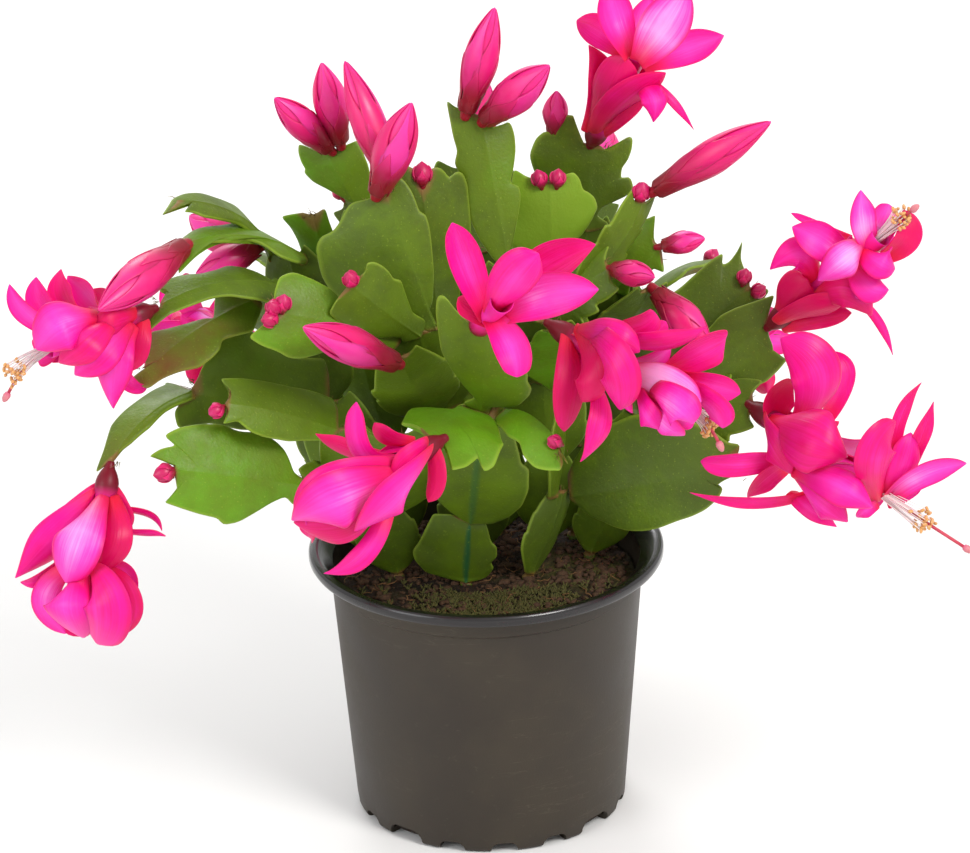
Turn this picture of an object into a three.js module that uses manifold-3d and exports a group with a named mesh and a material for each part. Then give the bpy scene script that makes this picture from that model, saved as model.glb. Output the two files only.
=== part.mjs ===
// A christmas cactus in bloom in its plastic nursery pot. Millimetres, +Z up.
// The origin is the centre of the pot's base. -Y is the side that the plant is looked at from.
import * as THREE from "three";
import { mergeVertices } from "three/addons/utils/BufferGeometryUtils.js";
import Module from "manifold-3d";

const wasm = await Module();
wasm.setup();

// The pot: a thin tapering wall with a raised band under a lipped rim.
const POT_HEIGHT = 94;
const POT_RIM_RADIUS = 60;
const POT_BAND_RADIUS = 53.8;
const POT_BAND_FOOT = POT_HEIGHT - 11;
const POT_FOOT_RADIUS = 46;
const POT_WALL = 1.6;
const POT_FLOOR = 2;
const POT_SIDES = 32;
// Drain notches go round the foot in four sets of one wide notch and three small arches.
const NOTCH_SETS = 4;
const NOTCHES_IN_SET = 4;
const NOTCH_STEP = THREE.MathUtils.degToRad(22.5);
const FIRST_NOTCH = THREE.MathUtils.degToRad(-130);
const WIDE_NOTCH = { width: 14, height: 5, sides: 6 };
const SMALL_NOTCH = { width: 9, height: 3.6, sides: 4 };
const NOTCH_REACH = 8;

// The soil, and the stems' round roots that stand in plain holes in it.
const SOIL_TOP = 84.5;
const ROOT_RADIUS = 3.2;
const ROOT_DEPTH = 13;
const ROOT_ABOVE = 4;
const ROOT_SIDES = 6;
const HOLE_MARGIN = 0.5;
const HOLE_DEEPER = 1;

// Space between pieces that touch. A bud or bloom starts sunk in its segment's tip and is moved out
// in small steps until it leaves that space.
const GAP = 0.3;
const SEAT_SUNK = 4;
const SEAT_STEP = 0.1;

// A flat stem segment: its thicknesses, how far its edges curl back, and how its neck is set in.
const SEGMENT_MIDDLE = 2.8;
const SEGMENT_EDGE = 1.2;
const SEGMENT_FLAT = 2.2;
const SEGMENT_CUP = 0.12;
const NECK_SUNK = 3.2;
const NECK_SPREAD = 0.42;

// A petal: its thickness, its root's distance from the tube's axis, its fold and its narrowest width.
const PETAL_THICK = 0.8;
const PETAL_ROOT = 2.1;
const PETAL_FOLD = 0.08;
const PETAL_FOOT = 2.8;
// Petals narrower than this have the short outline, and wider than this the fold down the middle.
const SMALL_BELOW = 9.5;
const FOLDED_FROM = 14.5;
// How far a front petal's flat side is turned towards the viewer's side, from 0 to 1.
const FACING = 0.5;

// Sides of the small turned shapes.
const SMALL_BUD_SIDES = 5;
const BUD_SIDES = 6;
const TUBE_SIDES = 6;

// The stamens stand in a socket in the tube's mouth. Its floor is a share of the tube's length up.
const SOCKET_FLOOR = 0.76;
const SOCKET_RADIUS = 1.7;
const SOCKET_MARGIN = 0.4;
const FILAMENTS_OUT = 7;
const STYLE_RADIUS = 0.6;

// A far bloom's petals go round its tube in two rings by rule, with a little seeded unevenness.
// Each ring is [petals, share of the way up, middle along, middle out, tip along, tip out, width].
const RINGS = [
  [5, 0.36, 6, 13, -3, 21, 10],
  [5, 0.86, 10, 9, 14, 20, 10],
];
const TURN_UNEVEN = 0.4;
const TIP_UNEVEN = 3;
const FIRST_SEED = 7;

const UP = new THREE.Vector3(0, 0, 1);
const TO_VIEWER = new THREE.Vector3(0, -1, 0);
const vector = (p) => new THREE.Vector3(p[0], p[1], p[2]);

// A geometry's merged triangles as a solid.
function solid(geometry) {
  const bare = new THREE.BufferGeometry();
  bare.setAttribute("position", geometry.getAttribute("position").clone());
  bare.setIndex(geometry.index);
  const merged = mergeVertices(bare, 1e-4);
  const corners = merged.index.array;
  const triVerts = [];
  for (let i = 0; i < corners.length; i += 3) {
    const [a, b, c] = [corners[i], corners[i + 1], corners[i + 2]];
    if (a !== b && b !== c && a !== c) triVerts.push(a, b, c);
  }
  const vertProperties = merged.attributes.position.array;
  return new wasm.Manifold(
    new wasm.Mesh({ numProp: 3, vertProperties, triVerts: new Uint32Array(triVerts) }),
  );
}

// One body from several that run into each other, with any pocket that they close in filled.
function joined(parts) {
  const bodies = wasm.Manifold.union(parts).decompose();
  return bodies.reduce((best, body) => (body.volume() > best.volume() ? body : best));
}

function geometryOf(made) {
  const mesh = made.getMesh();
  const geometry = new THREE.BufferGeometry();
  geometry.setAttribute("position", new THREE.BufferAttribute(mesh.vertProperties, 3));
  geometry.setIndex(new THREE.BufferAttribute(mesh.triVerts, 1));
  geometry.computeVertexNormals();
  return geometry;
}

// A solid turned about +Z from a profile of [radius, height] pairs that starts and ends on the axis.
function turned(profile, sides) {
  const points = profile.map(([r, z]) => new THREE.Vector2(r, z));
  return new THREE.LatheGeometry(points, sides).rotateX(Math.PI / 2);
}

// Moves a geometry that stands on the origin along +Z to stand on `base` along `axis`.
function stoodOn(geometry, base, axis) {
  const turn = new THREE.Quaternion().setFromUnitVectors(UP, axis);
  return geometry.applyQuaternion(turn).translate(base.x, base.y, base.z);
}

// A thin blade: one grid for its front, the same grid for its back, and a border between the two.
// place(column, row) gives the middle of the blade there and half of its thickness as a vector.
function blade(columns, rows, place) {
  const grid = new THREE.PlaneGeometry(1, 1, columns, rows);
  const count = grid.attributes.position.count;
  const position = new Float32Array(count * 6);
  for (let i = 0; i < count; i++) {
    const column = i % (columns + 1);
    const row = Math.floor(i / (columns + 1));
    const { middle, half } = place(column, row);
    position.set([middle.x + half.x, middle.y + half.y, middle.z + half.z], i * 3);
    position.set([middle.x - half.x, middle.y - half.y, middle.z - half.z], (count + i) * 3);
  }
  const index = Array.from(grid.index.array);
  for (let i = grid.index.count - 1; i >= 0; i--) index.push(count + grid.index.array[i]);
  const at = (column, row) => row * (columns + 1) + column;
  const border = [];
  for (let row = 0; row < rows; row++) border.push(at(0, row));
  for (let column = 0; column < columns; column++) border.push(at(column, rows));
  for (let row = rows; row > 0; row--) border.push(at(columns, row));
  for (let column = columns; column > 0; column--) border.push(at(column, 0));
  border.forEach((a, i) => {
    const b = border[(i + 1) % border.length];
    index.push(a, count + a, count + b, a, count + b, b);
  });
  const geometry = new THREE.BufferGeometry();
  geometry.setAttribute("position", new THREE.BufferAttribute(position, 3));
  geometry.setIndex(index);
  return geometry;
}

// Outlines of a stem segment, from its neck to its tip, as shares of its length and half width:
// [along at the edge, across at the edge, along at the middle]. The toothed one has the crab claws
// and a raised middle; the plain one, for what hides inside the plant, is a flat plate.
const TOOTHED_ROWS = [
  [0, 0.16, 0],
  [0.22, 0.84, 0.18],
  [0.5, 1, 0.46],
  [0.56, 0.88, 0.6],
  [1.05, 0.7, 0.86],
  [0.97, 0.3, 1],
];
const PLAIN_ROWS = [
  [0, 0.18],
  [0.32, 0.94],
  [0.76, 0.92],
  [1.01, 0.42],
];
const TOOTHED = { rows: TOOTHED_ROWS, columns: 2 };
const PLAIN = { rows: PLAIN_ROWS, columns: 1 };

// Directions of a flat segment between two joints: its flat side faces `face` degrees round from
// the viewer's side and `tilt` degrees up.
function framed(from, to, face, tilt) {
  const axis = to.clone().sub(from);
  const length = axis.length();
  axis.normalize();
  const turn = THREE.MathUtils.degToRad(face);
  const rise = THREE.MathUtils.degToRad(tilt);
  const normal = new THREE.Vector3(
    Math.sin(turn) * Math.cos(rise),
    -Math.cos(turn) * Math.cos(rise),
    Math.sin(rise),
  );
  normal.addScaledVector(axis, -normal.dot(axis)).normalize();
  return { axis, length, normal, side: normal.clone().cross(axis) };
}

// The solid of such a segment, which bows towards its flat side by a share of its length.
function segment(from, to, width, face, tilt, bow, outline) {
  const { axis, length, normal, side } = framed(from, to, face, tilt);
  const { rows, columns } = outline;
  return blade(columns, rows.length - 1, (column, row) => {
    const [edgeAlong, edgeAcross, middleAlong] = rows[row];
    const hand = (2 * column) / columns - 1;
    const along = hand === 0 ? middleAlong : edgeAlong;
    const across = hand * edgeAcross;
    const lift = bow * length * 4 * along * (1 - along) - SEGMENT_CUP * across * across * (width / 2);
    const middle = from
      .clone()
      .addScaledVector(axis, along * length)
      .addScaledVector(side, (across * width) / 2)
      .addScaledVector(normal, lift);
    const rim = columns === 1 ? SEGMENT_FLAT : SEGMENT_EDGE + (row === 0 ? 1 : 0);
    const thick = hand === 0 ? SEGMENT_MIDDLE : rim;
    return { middle, half: normal.clone().multiplyScalar(thick / 2) };
  });
}

// Outline of a petal as [along, share of the full width]. A wide petal has a fold down its middle.
const PETAL_ROWS = [
  [0, 0],
  [0.44, 0.96],
  [0.78, 0.86],
  [1, 0.14],
];
const SMALL_PETAL_ROWS = [
  [0, 0],
  [0.56, 1],
  [1, 0.18],
];

// A petal that leaves the bloom's axis at `root`, passes `middle` and ends at `tip`.
// Its flat side is turned towards the viewer's side by the share `facing`.
function petal(root, middle, tip, width, axis, facing) {
  const control = middle.clone().multiplyScalar(2).addScaledVector(root, -0.5).addScaledVector(tip, -0.5);
  const curve = new THREE.QuadraticBezierCurve3(root, control, tip);
  const chord = tip.clone().sub(root).normalize();
  const side = axis.clone().cross(chord).normalize();
  const normal = side.clone().cross(chord);
  if (normal.dot(TO_VIEWER) < 0) normal.negate();
  normal.multiplyScalar(1 - facing).addScaledVector(TO_VIEWER, facing).normalize();
  const columns = width > FOLDED_FROM ? 2 : 1;
  const rows = width < SMALL_BELOW ? SMALL_PETAL_ROWS : PETAL_ROWS;
  return blade(columns, rows.length - 1, (column, row) => {
    const [along, share] = rows[row];
    const spread = Math.max(share, PETAL_FOOT / width);
    const tangent = curve.getTangent(along);
    const flat = normal.clone().addScaledVector(tangent, -normal.dot(tangent)).normalize();
    const across = flat.clone().cross(tangent);
    const hand = (2 * column) / columns - 1;
    const point = curve.getPoint(along).addScaledVector(across, (hand * spread * width) / 2);
    point.addScaledVector(flat, -Math.abs(hand) * spread * width * PETAL_FOLD);
    return { middle: point, half: flat.multiplyScalar(PETAL_THICK / 2) };
  });
}

// Joints of the stems, where one segment ends and the next begins.
const JOINTS = {
  // The stem at the front of the pot.
  f0: [-7, -12, 86], f1: [-5, -18, 112], f2: [0, -42, 162],
  f3: [2, -56, 196], f4: [-17, -72, 163], f5: [25, -66, 157],
  // The stem with the edge-on segment and the large dark one to its right.
  g0: [14, -8, 86], g1: [26, -4, 115], g2: [26, -6, 154], g3: [30, -44, 188], g4: [85, -28, 134],
  // The stem that arches to the right.
  r0: [35, 9, 86], r1: [46, 8, 110], r2: [57, 8, 136], r3: [90, -14, 149],
  r4: [69, 8, 149], r5: [96, 6, 170], r6: [64, 20, 155], r7: [91, 23, 176],
  // The stem that spreads low to the left.
  l0: [-30, -4, 86], l1: [-36, -14, 114], l2: [-60, -44, 136], l3: [-101, -60, 150],
  l4: [-48, -34, 152], l5: [-84, -52, 169], l6: [-52, -10, 152], l7: [-97, -26, 162],
  l9: [-121, -54, 150], n2: [-30, -34, 150],
  // The stem that arches high to the left.
  m0: [-33, 10, 86], m1: [-45, 8, 115], m2: [-55, 6, 145], m3: [-60, 4, 171], m4: [-63, 0, 201],
  m5: [-99, -22, 228], m6: [-95, -30, 216], m7: [-68, -16, 193], m8: [-104, -44, 200],
  m10: [-110, -40, 174],
  // The stem in the middle.
  t0: [-2, 12, 86], t1: [-6, 8, 114], t2: [-12, 2, 146], t3: [-21, -26, 183], t4: [-30, -20, 229],
  t5: [-42, -42, 206], t6: [-15, -10, 179], t7: [-19, -16, 231], t8: [-66, -46, 198],
  t9: [-27, -42, 180],
  // The tall stem behind the middle.
  d0: [22, 22, 86], d1: [22, 20, 116], d2: [20, 14, 150], d3: [16, -4, 176], d4: [9, -12, 200],
  d5: [1, 0, 248], d6: [34, -4, 187], d7: [54, -2, 218], d8: [24, 8, 196], d9: [24, 8, 221],
  d10: [43, -14, 198], d12: [22, -20, 183],
  // The stem at the back right.
  e0: [30, 26, 86], e1: [38, 30, 118], e2: [38, 32, 156], e3: [36, 26, 199], e4: [38, 26, 227],
  e5: [46, 12, 182], e6: [60, 4, 198], e7: [56, 4, 184],
  e8: [58, 52, 130], e9: [82, 68, 134], e10: [58, 52, 162], e11: [78, 66, 168],
  // The stem at the back left.
  k0: [-26, 26, 86], k1: [-38, 28, 120], k2: [-42, 24, 160], k3: [-37, 16, 208], k4: [-50, 18, 230],
  k5: [-55, 10, 211], k6: [-62, 48, 136], k7: [-88, 64, 148], k8: [-60, 44, 172], k9: [-80, 60, 178],
  // The low stem at the back.
  b0: [-6, 38, 86], b1: [-8, 48, 116], b2: [-14, 66, 144], b3: [-18, 92, 160], b4: [18, 66, 142],
  b5: [32, 90, 156], b6: [-42, 84, 156],
  // The tall stem at the back.
  q0: [4, 28, 86], q1: [2, 34, 118], q2: [2, 40, 152], q3: [0, 46, 184], q4: [28, 56, 176],
  q5: [-26, 54, 178], q6: [-2, 60, 208], q7: [42, 76, 192], q8: [-46, 74, 192], q9: [8, 70, 168],
};

// Each segment is [from, to, width, face, tilt, bow, outline]; each small bud [base, tip, radius].
const STEMS = {
  stem_front: {
    segments: [
      ["f0", "f1", 29, 0, 10, 0.03, TOOTHED],
      ["f1", "f2", 34, 0, 10, 0.05, TOOTHED],
      ["f2", "f3", 33, -5, 25, 0.05, TOOTHED],
      ["f2", "f4", 24, 0, 75, 0.08, TOOTHED],
      ["f2", "f5", 22, 10, 70, 0.15, TOOTHED],
    ],
    buds: [[[25, -66, 158], [18, -69, 163], 2.2]],
  },
  stem_middle: {
    segments: [
      ["g0", "g1", 24, 60, 5, 0.02, PLAIN],
      ["g1", "g2", 22, 80, 5, 0.04, PLAIN],
      ["g2", "g3", 31, 10, 60, 0.08, TOOTHED],
      ["g1", "g4", 42, 5, 15, 0.06, TOOTHED],
    ],
    buds: [],
  },
  stem_right: {
    segments: [
      ["r0", "r1", 22, 20, 0, 0.02, PLAIN],
      ["r1", "r2", 26, -10, 20, 0.03, PLAIN],
      ["r2", "r3", 26, 0, 50, 0.08, TOOTHED],
      ["r2", "r4", 20, 10, 10, 0, PLAIN],
      ["r4", "r5", 35, 0, 20, 0.04, TOOTHED],
      ["r2", "r6", 26, 20, 10, 0, PLAIN],
      ["r6", "r7", 33, -5, 20, 0.04, TOOTHED],
    ],
    buds: [
      [[88, 22, 177], [91, 20, 192], 2.4],
      [[91, 22, 173], [102, 18, 182], 2.4],
    ],
  },
  stem_left: {
    segments: [
      ["l0", "l1", 22, 0, 10, 0.02, PLAIN],
      ["l1", "l2", 26, -20, 40, 0.04, PLAIN],
      ["l2", "l3", 33, -10, 30, 0.06, TOOTHED],
      ["l1", "l4", 24, -10, 30, 0.02, PLAIN],
      ["l4", "l5", 26, -10, 45, 0.06, TOOTHED],
      ["l1", "l6", 28, -10, 10, 0.02, PLAIN],
      ["l6", "l7", 33, -10, 20, 0.06, TOOTHED],
      ["l7", "l9", 24, -30, 60, 0.12, TOOTHED],
      ["l1", "n2", 34, 0, 10, 0.04, PLAIN],
    ],
    buds: [
      [[-84, -52, 168], [-90, -58, 167], 2.4],
      [[-100, -59, 149], [-111, -65, 149], 3],
    ],
  },
  stem_high_left: {
    segments: [
      ["m0", "m1", 22, 0, 5, 0.02, PLAIN],
      ["m1", "m2", 26, -10, 10, 0.02, PLAIN],
      ["m2", "m3", 28, -10, 10, 0.02, PLAIN],
      ["m3", "m4", 26, -20, 10, 0.02, PLAIN],
      ["m4", "m5", 26, -20, 65, 0.12, TOOTHED],
      ["m4", "m6", 22, -20, 70, 0.1, TOOTHED],
      ["m3", "m7", 26, -10, 20, 0.02, PLAIN],
      ["m7", "m8", 28, -20, 60, 0.12, TOOTHED],
      ["m7", "m10", 24, -20, 50, 0.1, TOOTHED],
    ],
    buds: [],
  },
  stem_centre: {
    segments: [
      ["t0", "t1", 24, 0, 5, 0.02, PLAIN],
      ["t1", "t2", 28, 10, 10, 0.02, PLAIN],
      ["t2", "t3", 30, -5, 20, 0.03, PLAIN],
      ["t3", "t4", 42, -5, 10, 0.05, TOOTHED],
      ["t3", "t5", 25, -10, 20, 0.06, TOOTHED],
      ["t2", "t6", 26, 10, 10, 0.02, PLAIN],
      ["t6", "t7", 24, 15, 10, 0.04, TOOTHED],
      ["t3", "t8", 27, -5, 30, 0.08, TOOTHED],
      ["t2", "t9", 28, 0, 15, 0.04, PLAIN],
    ],
    buds: [
      [[-18, -16, 229], [-18, -15, 244], 3.2],
      [[-41, -41, 205], [-43, -47, 214], 2.6],
      [[-64, -46, 198], [-62, -48, 211], 2.6],
      [[-66, -46, 198], [-68, -53, 206], 2.6],
      [[-66, -47, 196], [-71, -54, 199], 2.6],
    ],
  },
  stem_tall: {
    segments: [
      ["d0", "d1", 24, 0, 0, 0.02, PLAIN],
      ["d1", "d2", 28, 0, 5, 0.02, PLAIN],
      ["d2", "d3", 28, 10, 15, 0.02, PLAIN],
      ["d3", "d4", 24, 0, 15, 0.02, PLAIN],
      ["d4", "d5", 24, 5, 10, 0.04, TOOTHED],
      ["d3", "d6", 20, 30, 10, 0, PLAIN],
      ["d6", "d7", 18, 50, 10, 0.06, TOOTHED],
      ["d2", "d8", 22, 0, 5, 0.02, PLAIN],
      ["d8", "d9", 28, 0, 10, 0.04, TOOTHED],
      ["d3", "d10", 22, 20, 50, 0.06, TOOTHED],
      ["d2", "d12", 30, 0, 20, 0.05, PLAIN],
    ],
    buds: [
      [[53, -2, 217], [55, -6, 228], 3],
      [[21, 7, 219], [19, 6, 228], 2.6],
      [[26, 7, 219], [27, 6, 228], 2.6],
    ],
  },
  stem_back_right: {
    segments: [
      ["e0", "e1", 24, 10, 0, 0.02, PLAIN],
      ["e1", "e2", 28, 0, 5, 0.02, PLAIN],
      ["e2", "e3", 28, 5, 5, 0.02, PLAIN],
      ["e3", "e4", 38, 0, 10, 0.03, TOOTHED],
      ["e2", "e5", 18, 20, 20, 0.04, PLAIN],
      ["e5", "e6", 22, 10, 30, 0.06, TOOTHED],
      ["e2", "e7", 24, 30, 20, 0.04, PLAIN],
      ["e1", "e8", 26, 150, 20, 0.04, PLAIN],
      ["e8", "e9", 32, 150, 40, 0.08, TOOTHED],
      ["e2", "e10", 26, 150, 15, 0.02, PLAIN],
      ["e10", "e11", 28, 150, 40, 0.08, PLAIN],
    ],
    buds: [[[78, 66, 167], [84, 72, 174], 2.6]],
  },
  stem_back_left: {
    segments: [
      ["k0", "k1", 24, -10, 0, 0.02, PLAIN],
      ["k1", "k2", 28, -10, 5, 0.02, PLAIN],
      ["k2", "k3", 28, -5, 5, 0.02, PLAIN],
      ["k3", "k4", 24, -10, 10, 0.04, TOOTHED],
      ["k2", "k5", 24, -10, 15, 0.04, TOOTHED],
      ["k1", "k6", 26, 210, 20, 0.04, PLAIN],
      ["k6", "k7", 32, 210, 40, 0.08, TOOTHED],
      ["k2", "k8", 26, 210, 15, 0.02, PLAIN],
      ["k8", "k9", 28, 210, 40, 0.08, PLAIN],
    ],
    buds: [],
  },
  stem_far_low: {
    segments: [
      ["b0", "b1", 26, 180, 10, 0.02, PLAIN],
      ["b1", "b2", 28, 180, 20, 0.04, PLAIN],
      ["b2", "b3", 34, 185, 40, 0.08, TOOTHED],
      ["b1", "b4", 28, 170, 20, 0.04, PLAIN],
      ["b4", "b5", 30, 165, 40, 0.08, PLAIN],
      ["b2", "b6", 30, 195, 40, 0.08, PLAIN],
    ],
    buds: [[[32, 90, 155], [36, 99, 158], 2.6]],
  },
  stem_far_tall: {
    segments: [
      ["q0", "q1", 26, 180, 0, 0.02, PLAIN],
      ["q1", "q2", 30, 180, 5, 0.02, PLAIN],
      ["q2", "q3", 32, 180, 10, 0.03, PLAIN],
      ["q3", "q6", 34, 180, 15, 0.05, TOOTHED],
      ["q2", "q4", 26, 170, 15, 0.03, PLAIN],
      ["q4", "q7", 30, 160, 30, 0.06, TOOTHED],
      ["q2", "q5", 26, 190, 15, 0.03, PLAIN],
      ["q5", "q8", 30, 200, 30, 0.06, TOOTHED],
      ["q2", "q9", 28, 175, 30, 0.06, PLAIN],
    ],
    buds: [[[-46, 74, 191], [-51, 80, 199], 2.6]],
  },
};

// Big buds, each on the tip of a segment: [stem, base, tip, radius].
const BUDS = {
  bud_upper_left_a: ["stem_back_left", [-48, 16, 230], [-65, 6, 252], 5],
  bud_upper_left_b: ["stem_back_left", [-45, 16, 232], [-50, 10, 262], 5.5],
  bud_top_left_a: ["stem_centre", [-33, -22, 228], [-21, -34, 263], 6.5],
  bud_top_left_b: ["stem_centre", [-28, -14, 230], [-43, 0, 269], 5.5],
  bud_top_a: ["stem_tall", [-3, -2, 250], [7, -6, 287], 5.5],
  bud_top_b: ["stem_tall", [4, -4, 248], [25, -20, 272], 6],
  bud_top_right: ["stem_tall", [58, -4, 221], [95, -20, 250], 5.5],
  bud_left: ["stem_high_left", [-95, -34, 217], [-121, -70, 210], 6.5],
  bud_left_behind: ["stem_high_left", [-72, 0, 203], [-93, -8, 197], 5],
  bud_front_left: ["stem_centre", [-29, -46, 180], [-58, -70, 203], 6],
  bud_right_low: ["stem_back_right", [58, 3, 183], [76, -10, 168], 5.5],
  bud_right_mid: ["stem_tall", [43, -14, 198], [56, -30, 201], 4],
  bud_right_high: ["stem_back_right", [58, 4, 198], [72, 0, 202], 3.5],
  bud_top_back: ["stem_back_right", [26, 30, 231], [27, 30, 246], 4],
  bud_far_left: ["stem_back_left", [-81, 61, 178], [-100, 76, 186], 6],
  bud_far_top: ["stem_far_tall", [-2, 61, 208], [4, 74, 232], 5.5],
  bud_far_right: ["stem_far_tall", [42, 77, 192], [46, 98, 206], 5.5],
};

// Open blooms. Each petal is [share of the way up the tube, middle, tip, width].
const BLOOMS = {
  bloom_left: {
    stem: "stem_high_left", base: [-106, -46, 200], mouth: [-138, -66, 196], pistil: [-151, -70, 182],
    petals: [
      [0.15, [-114, -64, 198], [-121, -66, 185], 14],
      [0.35, [-124, -66, 194], [-118, -62, 172], 16],
      [0.2, [-116, -40, 179], [-110, -36, 169], 9],
      [0.45, [-131, -74, 209], [-135, -74, 195], 17],
      [0.35, [-122, -46, 206], [-132, -44, 211], 14],
      [0.6, [-131, -46, 206], [-135, -40, 213], 12],
      [0.7, [-136, -62, 210], [-140, -62, 219], 14],
      [0.92, [-145, -66, 206], [-150, -62, 216], 12],
      [0.8, [-139, -50, 199], [-136, -40, 205], 12],
    ],
  },
  bloom_low_left: {
    stem: "stem_left", base: [-121, -52, 151], mouth: [-129, -72, 112],
    petals: [
      [0.12, [-136, -54, 137], [-143, -52, 130], 10],
      [0.25, [-140, -58, 129], [-153, -62, 118], 15],
      [0.28, [-136, -76, 131], [-148, -80, 125], 15],
      [0.2, [-127, -80, 140], [-128, -86, 128], 17],
      [0.3, [-109, -60, 137], [-104, -58, 130], 5],
      [0.3, [-118, -62, 132], [-125, -66, 121], 12],
      [0.72, [-138, -66, 112], [-134, -68, 103], 11],
      [0.74, [-127, -84, 116], [-125, -78, 104], 17],
      [0.7, [-115, -68, 116], [-121, -66, 104], 9],
      [0.72, [-126, -58, 107], [-128, -58, 96], 14],
    ],
  },
  bloom_front: {
    stem: "stem_front", base: [-15, -76, 164], mouth: [-60, -104, 150],
    petals: [
      [0.08, [-17, -82, 152], [-19, -86, 147], 7],
      [0.22, [-34, -82, 169], [-36, -84, 174], 7],
      [0.42, [-42, -92, 172], [-43, -94, 186], 9],
      [0.4, [-46, -80, 165], [-54, -76, 167], 8],
      [0.28, [-35, -96, 146], [-53, -90, 125], 13],
      [0.25, [-31, -106, 161], [-43, -112, 151], 14],
      [0.5, [-49, -96, 162], [-61, -102, 150], 16],
      [0.52, [-51, -98, 143], [-60, -102, 150], 14],
      [0.5, [-47, -114, 159], [-62, -106, 151], 18],
    ],
  },
  bloom_centre: {
    stem: "stem_front", base: [-1, -58, 196], mouth: [7, -88, 217],
    petals: [
      [0.35, [-5, -70, 209], [-7, -74, 211], 10],
      [0.45, [-5, -74, 223], [-8, -80, 239], 11],
      [0.6, [18, -82, 229], [36, -84, 234], 13],
      [0.6, [22, -90, 220], [36, -96, 223], 13],
      [0.45, [8, -84, 201], [10, -92, 194], 13],
      [0.75, [10, -98, 227], [17, -104, 236], 14],
    ],
  },
  bloom_centre_right: {
    stem: "stem_middle", base: [26, -48, 190], mouth: [70, -78, 172], pistil: [78, -84, 163],
    petals: [
      [0.18, [29, -68, 171], [31, -74, 164], 8],
      [0.35, [38, -76, 169], [34, -80, 156], 11],
      [0.28, [43, -82, 190], [48, -86, 176], 18],
      [0.3, [54, -56, 196], [59, -52, 195], 12],
      [0.38, [61, -74, 193], [75, -76, 200], 9],
      [0.4, [58, -54, 184], [67, -50, 179], 12],
      [0.8, [73, -80, 191], [80, -84, 198], 15],
      [0.85, [78, -72, 177], [84, -70, 174], 12],
      [0.7, [54, -90, 177], [56, -94, 173], 12],
      [0.75, [63, -98, 177], [65, -100, 173], 14],
      [0.85, [74, -90, 173], [78, -92, 171], 14],
    ],
  },
  bloom_right_high: {
    stem: "stem_right", base: [96, 4, 169], mouth: [131, -14, 207], pistil: [],
    petals: [
      [0.25, [110, -6, 176], [118, -10, 176], 8],
      [0.4, [119, -16, 186], [127, -20, 181], 12],
      [0.45, [130, 6, 170], [137, 8, 156], 4],
      [0.5, [104, -8, 198], [95, -14, 196], 14],
      [0.55, [112, 2, 201], [103, 6, 203], 10],
      [0.5, [115, 14, 198], [103, 22, 201], 4],
      [0.62, [116, -26, 205], [110, -34, 199], 14],
      [0.88, [125, -14, 215], [125, -14, 222], 9],
      [0.9, [132, -6, 213], [135, -2, 213], 9],
      [0.92, [140, -14, 203], [142, -12, 209], 10],
      [0.85, [129, -22, 196], [132, -26, 193], 12],
      [0.8, [125, -12, 192], [128, -10, 183], 10],
    ],
  },
  bloom_right_low: {
    stem: "stem_right", base: [92, -20, 148], mouth: [131, -58, 133], pistil: [158, -70, 118],
    petals: [
      [0.14, [97, -36, 138], [75, -40, 138], 10],
      [0.3, [106, -34, 163], [101, -34, 178], 18],
      [0.35, [122, -22, 158], [118, -14, 164], 9],
      [0.12, [105, -54, 154], [120, -62, 148], 20],
      [0.32, [111, -50, 129], [118, -52, 119], 14],
      [0.34, [118, -64, 139], [128, -68, 132], 14],
      [0.3, [94, -46, 128], [72, -46, 129], 5],
      [0.86, [135, -66, 162], [143, -70, 175], 13],
      [0.88, [142, -54, 149], [149, -50, 161], 8],
      [0.92, [146, -56, 140], [158, -56, 142], 9],
      [0.84, [124, -66, 147], [132, -72, 159], 13],
    ],
  },
  bloom_top: {
    stem: "stem_back_right", base: [39, 24, 230], mouth: [54, 4, 268], pistil: [],
    petals: [
      [0.4, [43, 10, 260], [38, 8, 269], 10],
      [0.42, [50, -6, 265], [51, -14, 264], 12],
      [0.5, [57, -2, 256], [58, -8, 249], 10],
      [0.55, [68, 6, 251], [72, 6, 241], 4],
      [0.5, [62, 18, 255], [65, 22, 254], 9],
      [0.86, [43, 6, 274], [35, 6, 278], 10],
      [0.88, [46, -2, 283], [45, -6, 295], 12],
      [0.9, [66, -11, 278], [72, -14, 292], 14],
      [0.9, [71, 6, 270], [82, 8, 272], 10],
      [0.86, [58, 18, 277], [59, 24, 286], 11],
    ],
  },
  bloom_far_left: {
    stem: "stem_back_left", base: [-89, 65, 148], mouth: [-106, 100, 134],
  },
  bloom_far_right: {
    stem: "stem_back_right", base: [83, 69, 134], mouth: [92, 106, 122],
  },
  bloom_far: {
    stem: "stem_far_low", base: [-18, 94, 160], mouth: [-26, 130, 150],
  },
};

// Half sections of the pot, outside from the base up and inside from the rim down.
const POT_OUTSIDE = [
  [0, 0],
  [POT_FOOT_RADIUS - 1.5, 0],
  [POT_FOOT_RADIUS, 1.5],
  [POT_BAND_RADIUS - 1.4, POT_BAND_FOOT],
  [POT_BAND_RADIUS - 0.2, POT_BAND_FOOT + 1],
  [POT_BAND_RADIUS, POT_HEIGHT - 4.6],
  [POT_RIM_RADIUS - 1.2, POT_HEIGHT - 3.8],
  [POT_RIM_RADIUS, POT_HEIGHT - 2.6],
  [POT_RIM_RADIUS, POT_HEIGHT - 0.8],
  [POT_RIM_RADIUS - 0.8, POT_HEIGHT],
  [POT_RIM_RADIUS - 3.6, POT_HEIGHT],
];
const POT_INSIDE = [
  [POT_BAND_RADIUS - 1.8, POT_HEIGHT - 4],
  [POT_BAND_RADIUS - 1.4 - POT_WALL, POT_BAND_FOOT - 1],
  [POT_FOOT_RADIUS - POT_WALL, POT_FLOOR],
  [0, POT_FLOOR],
];

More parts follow.
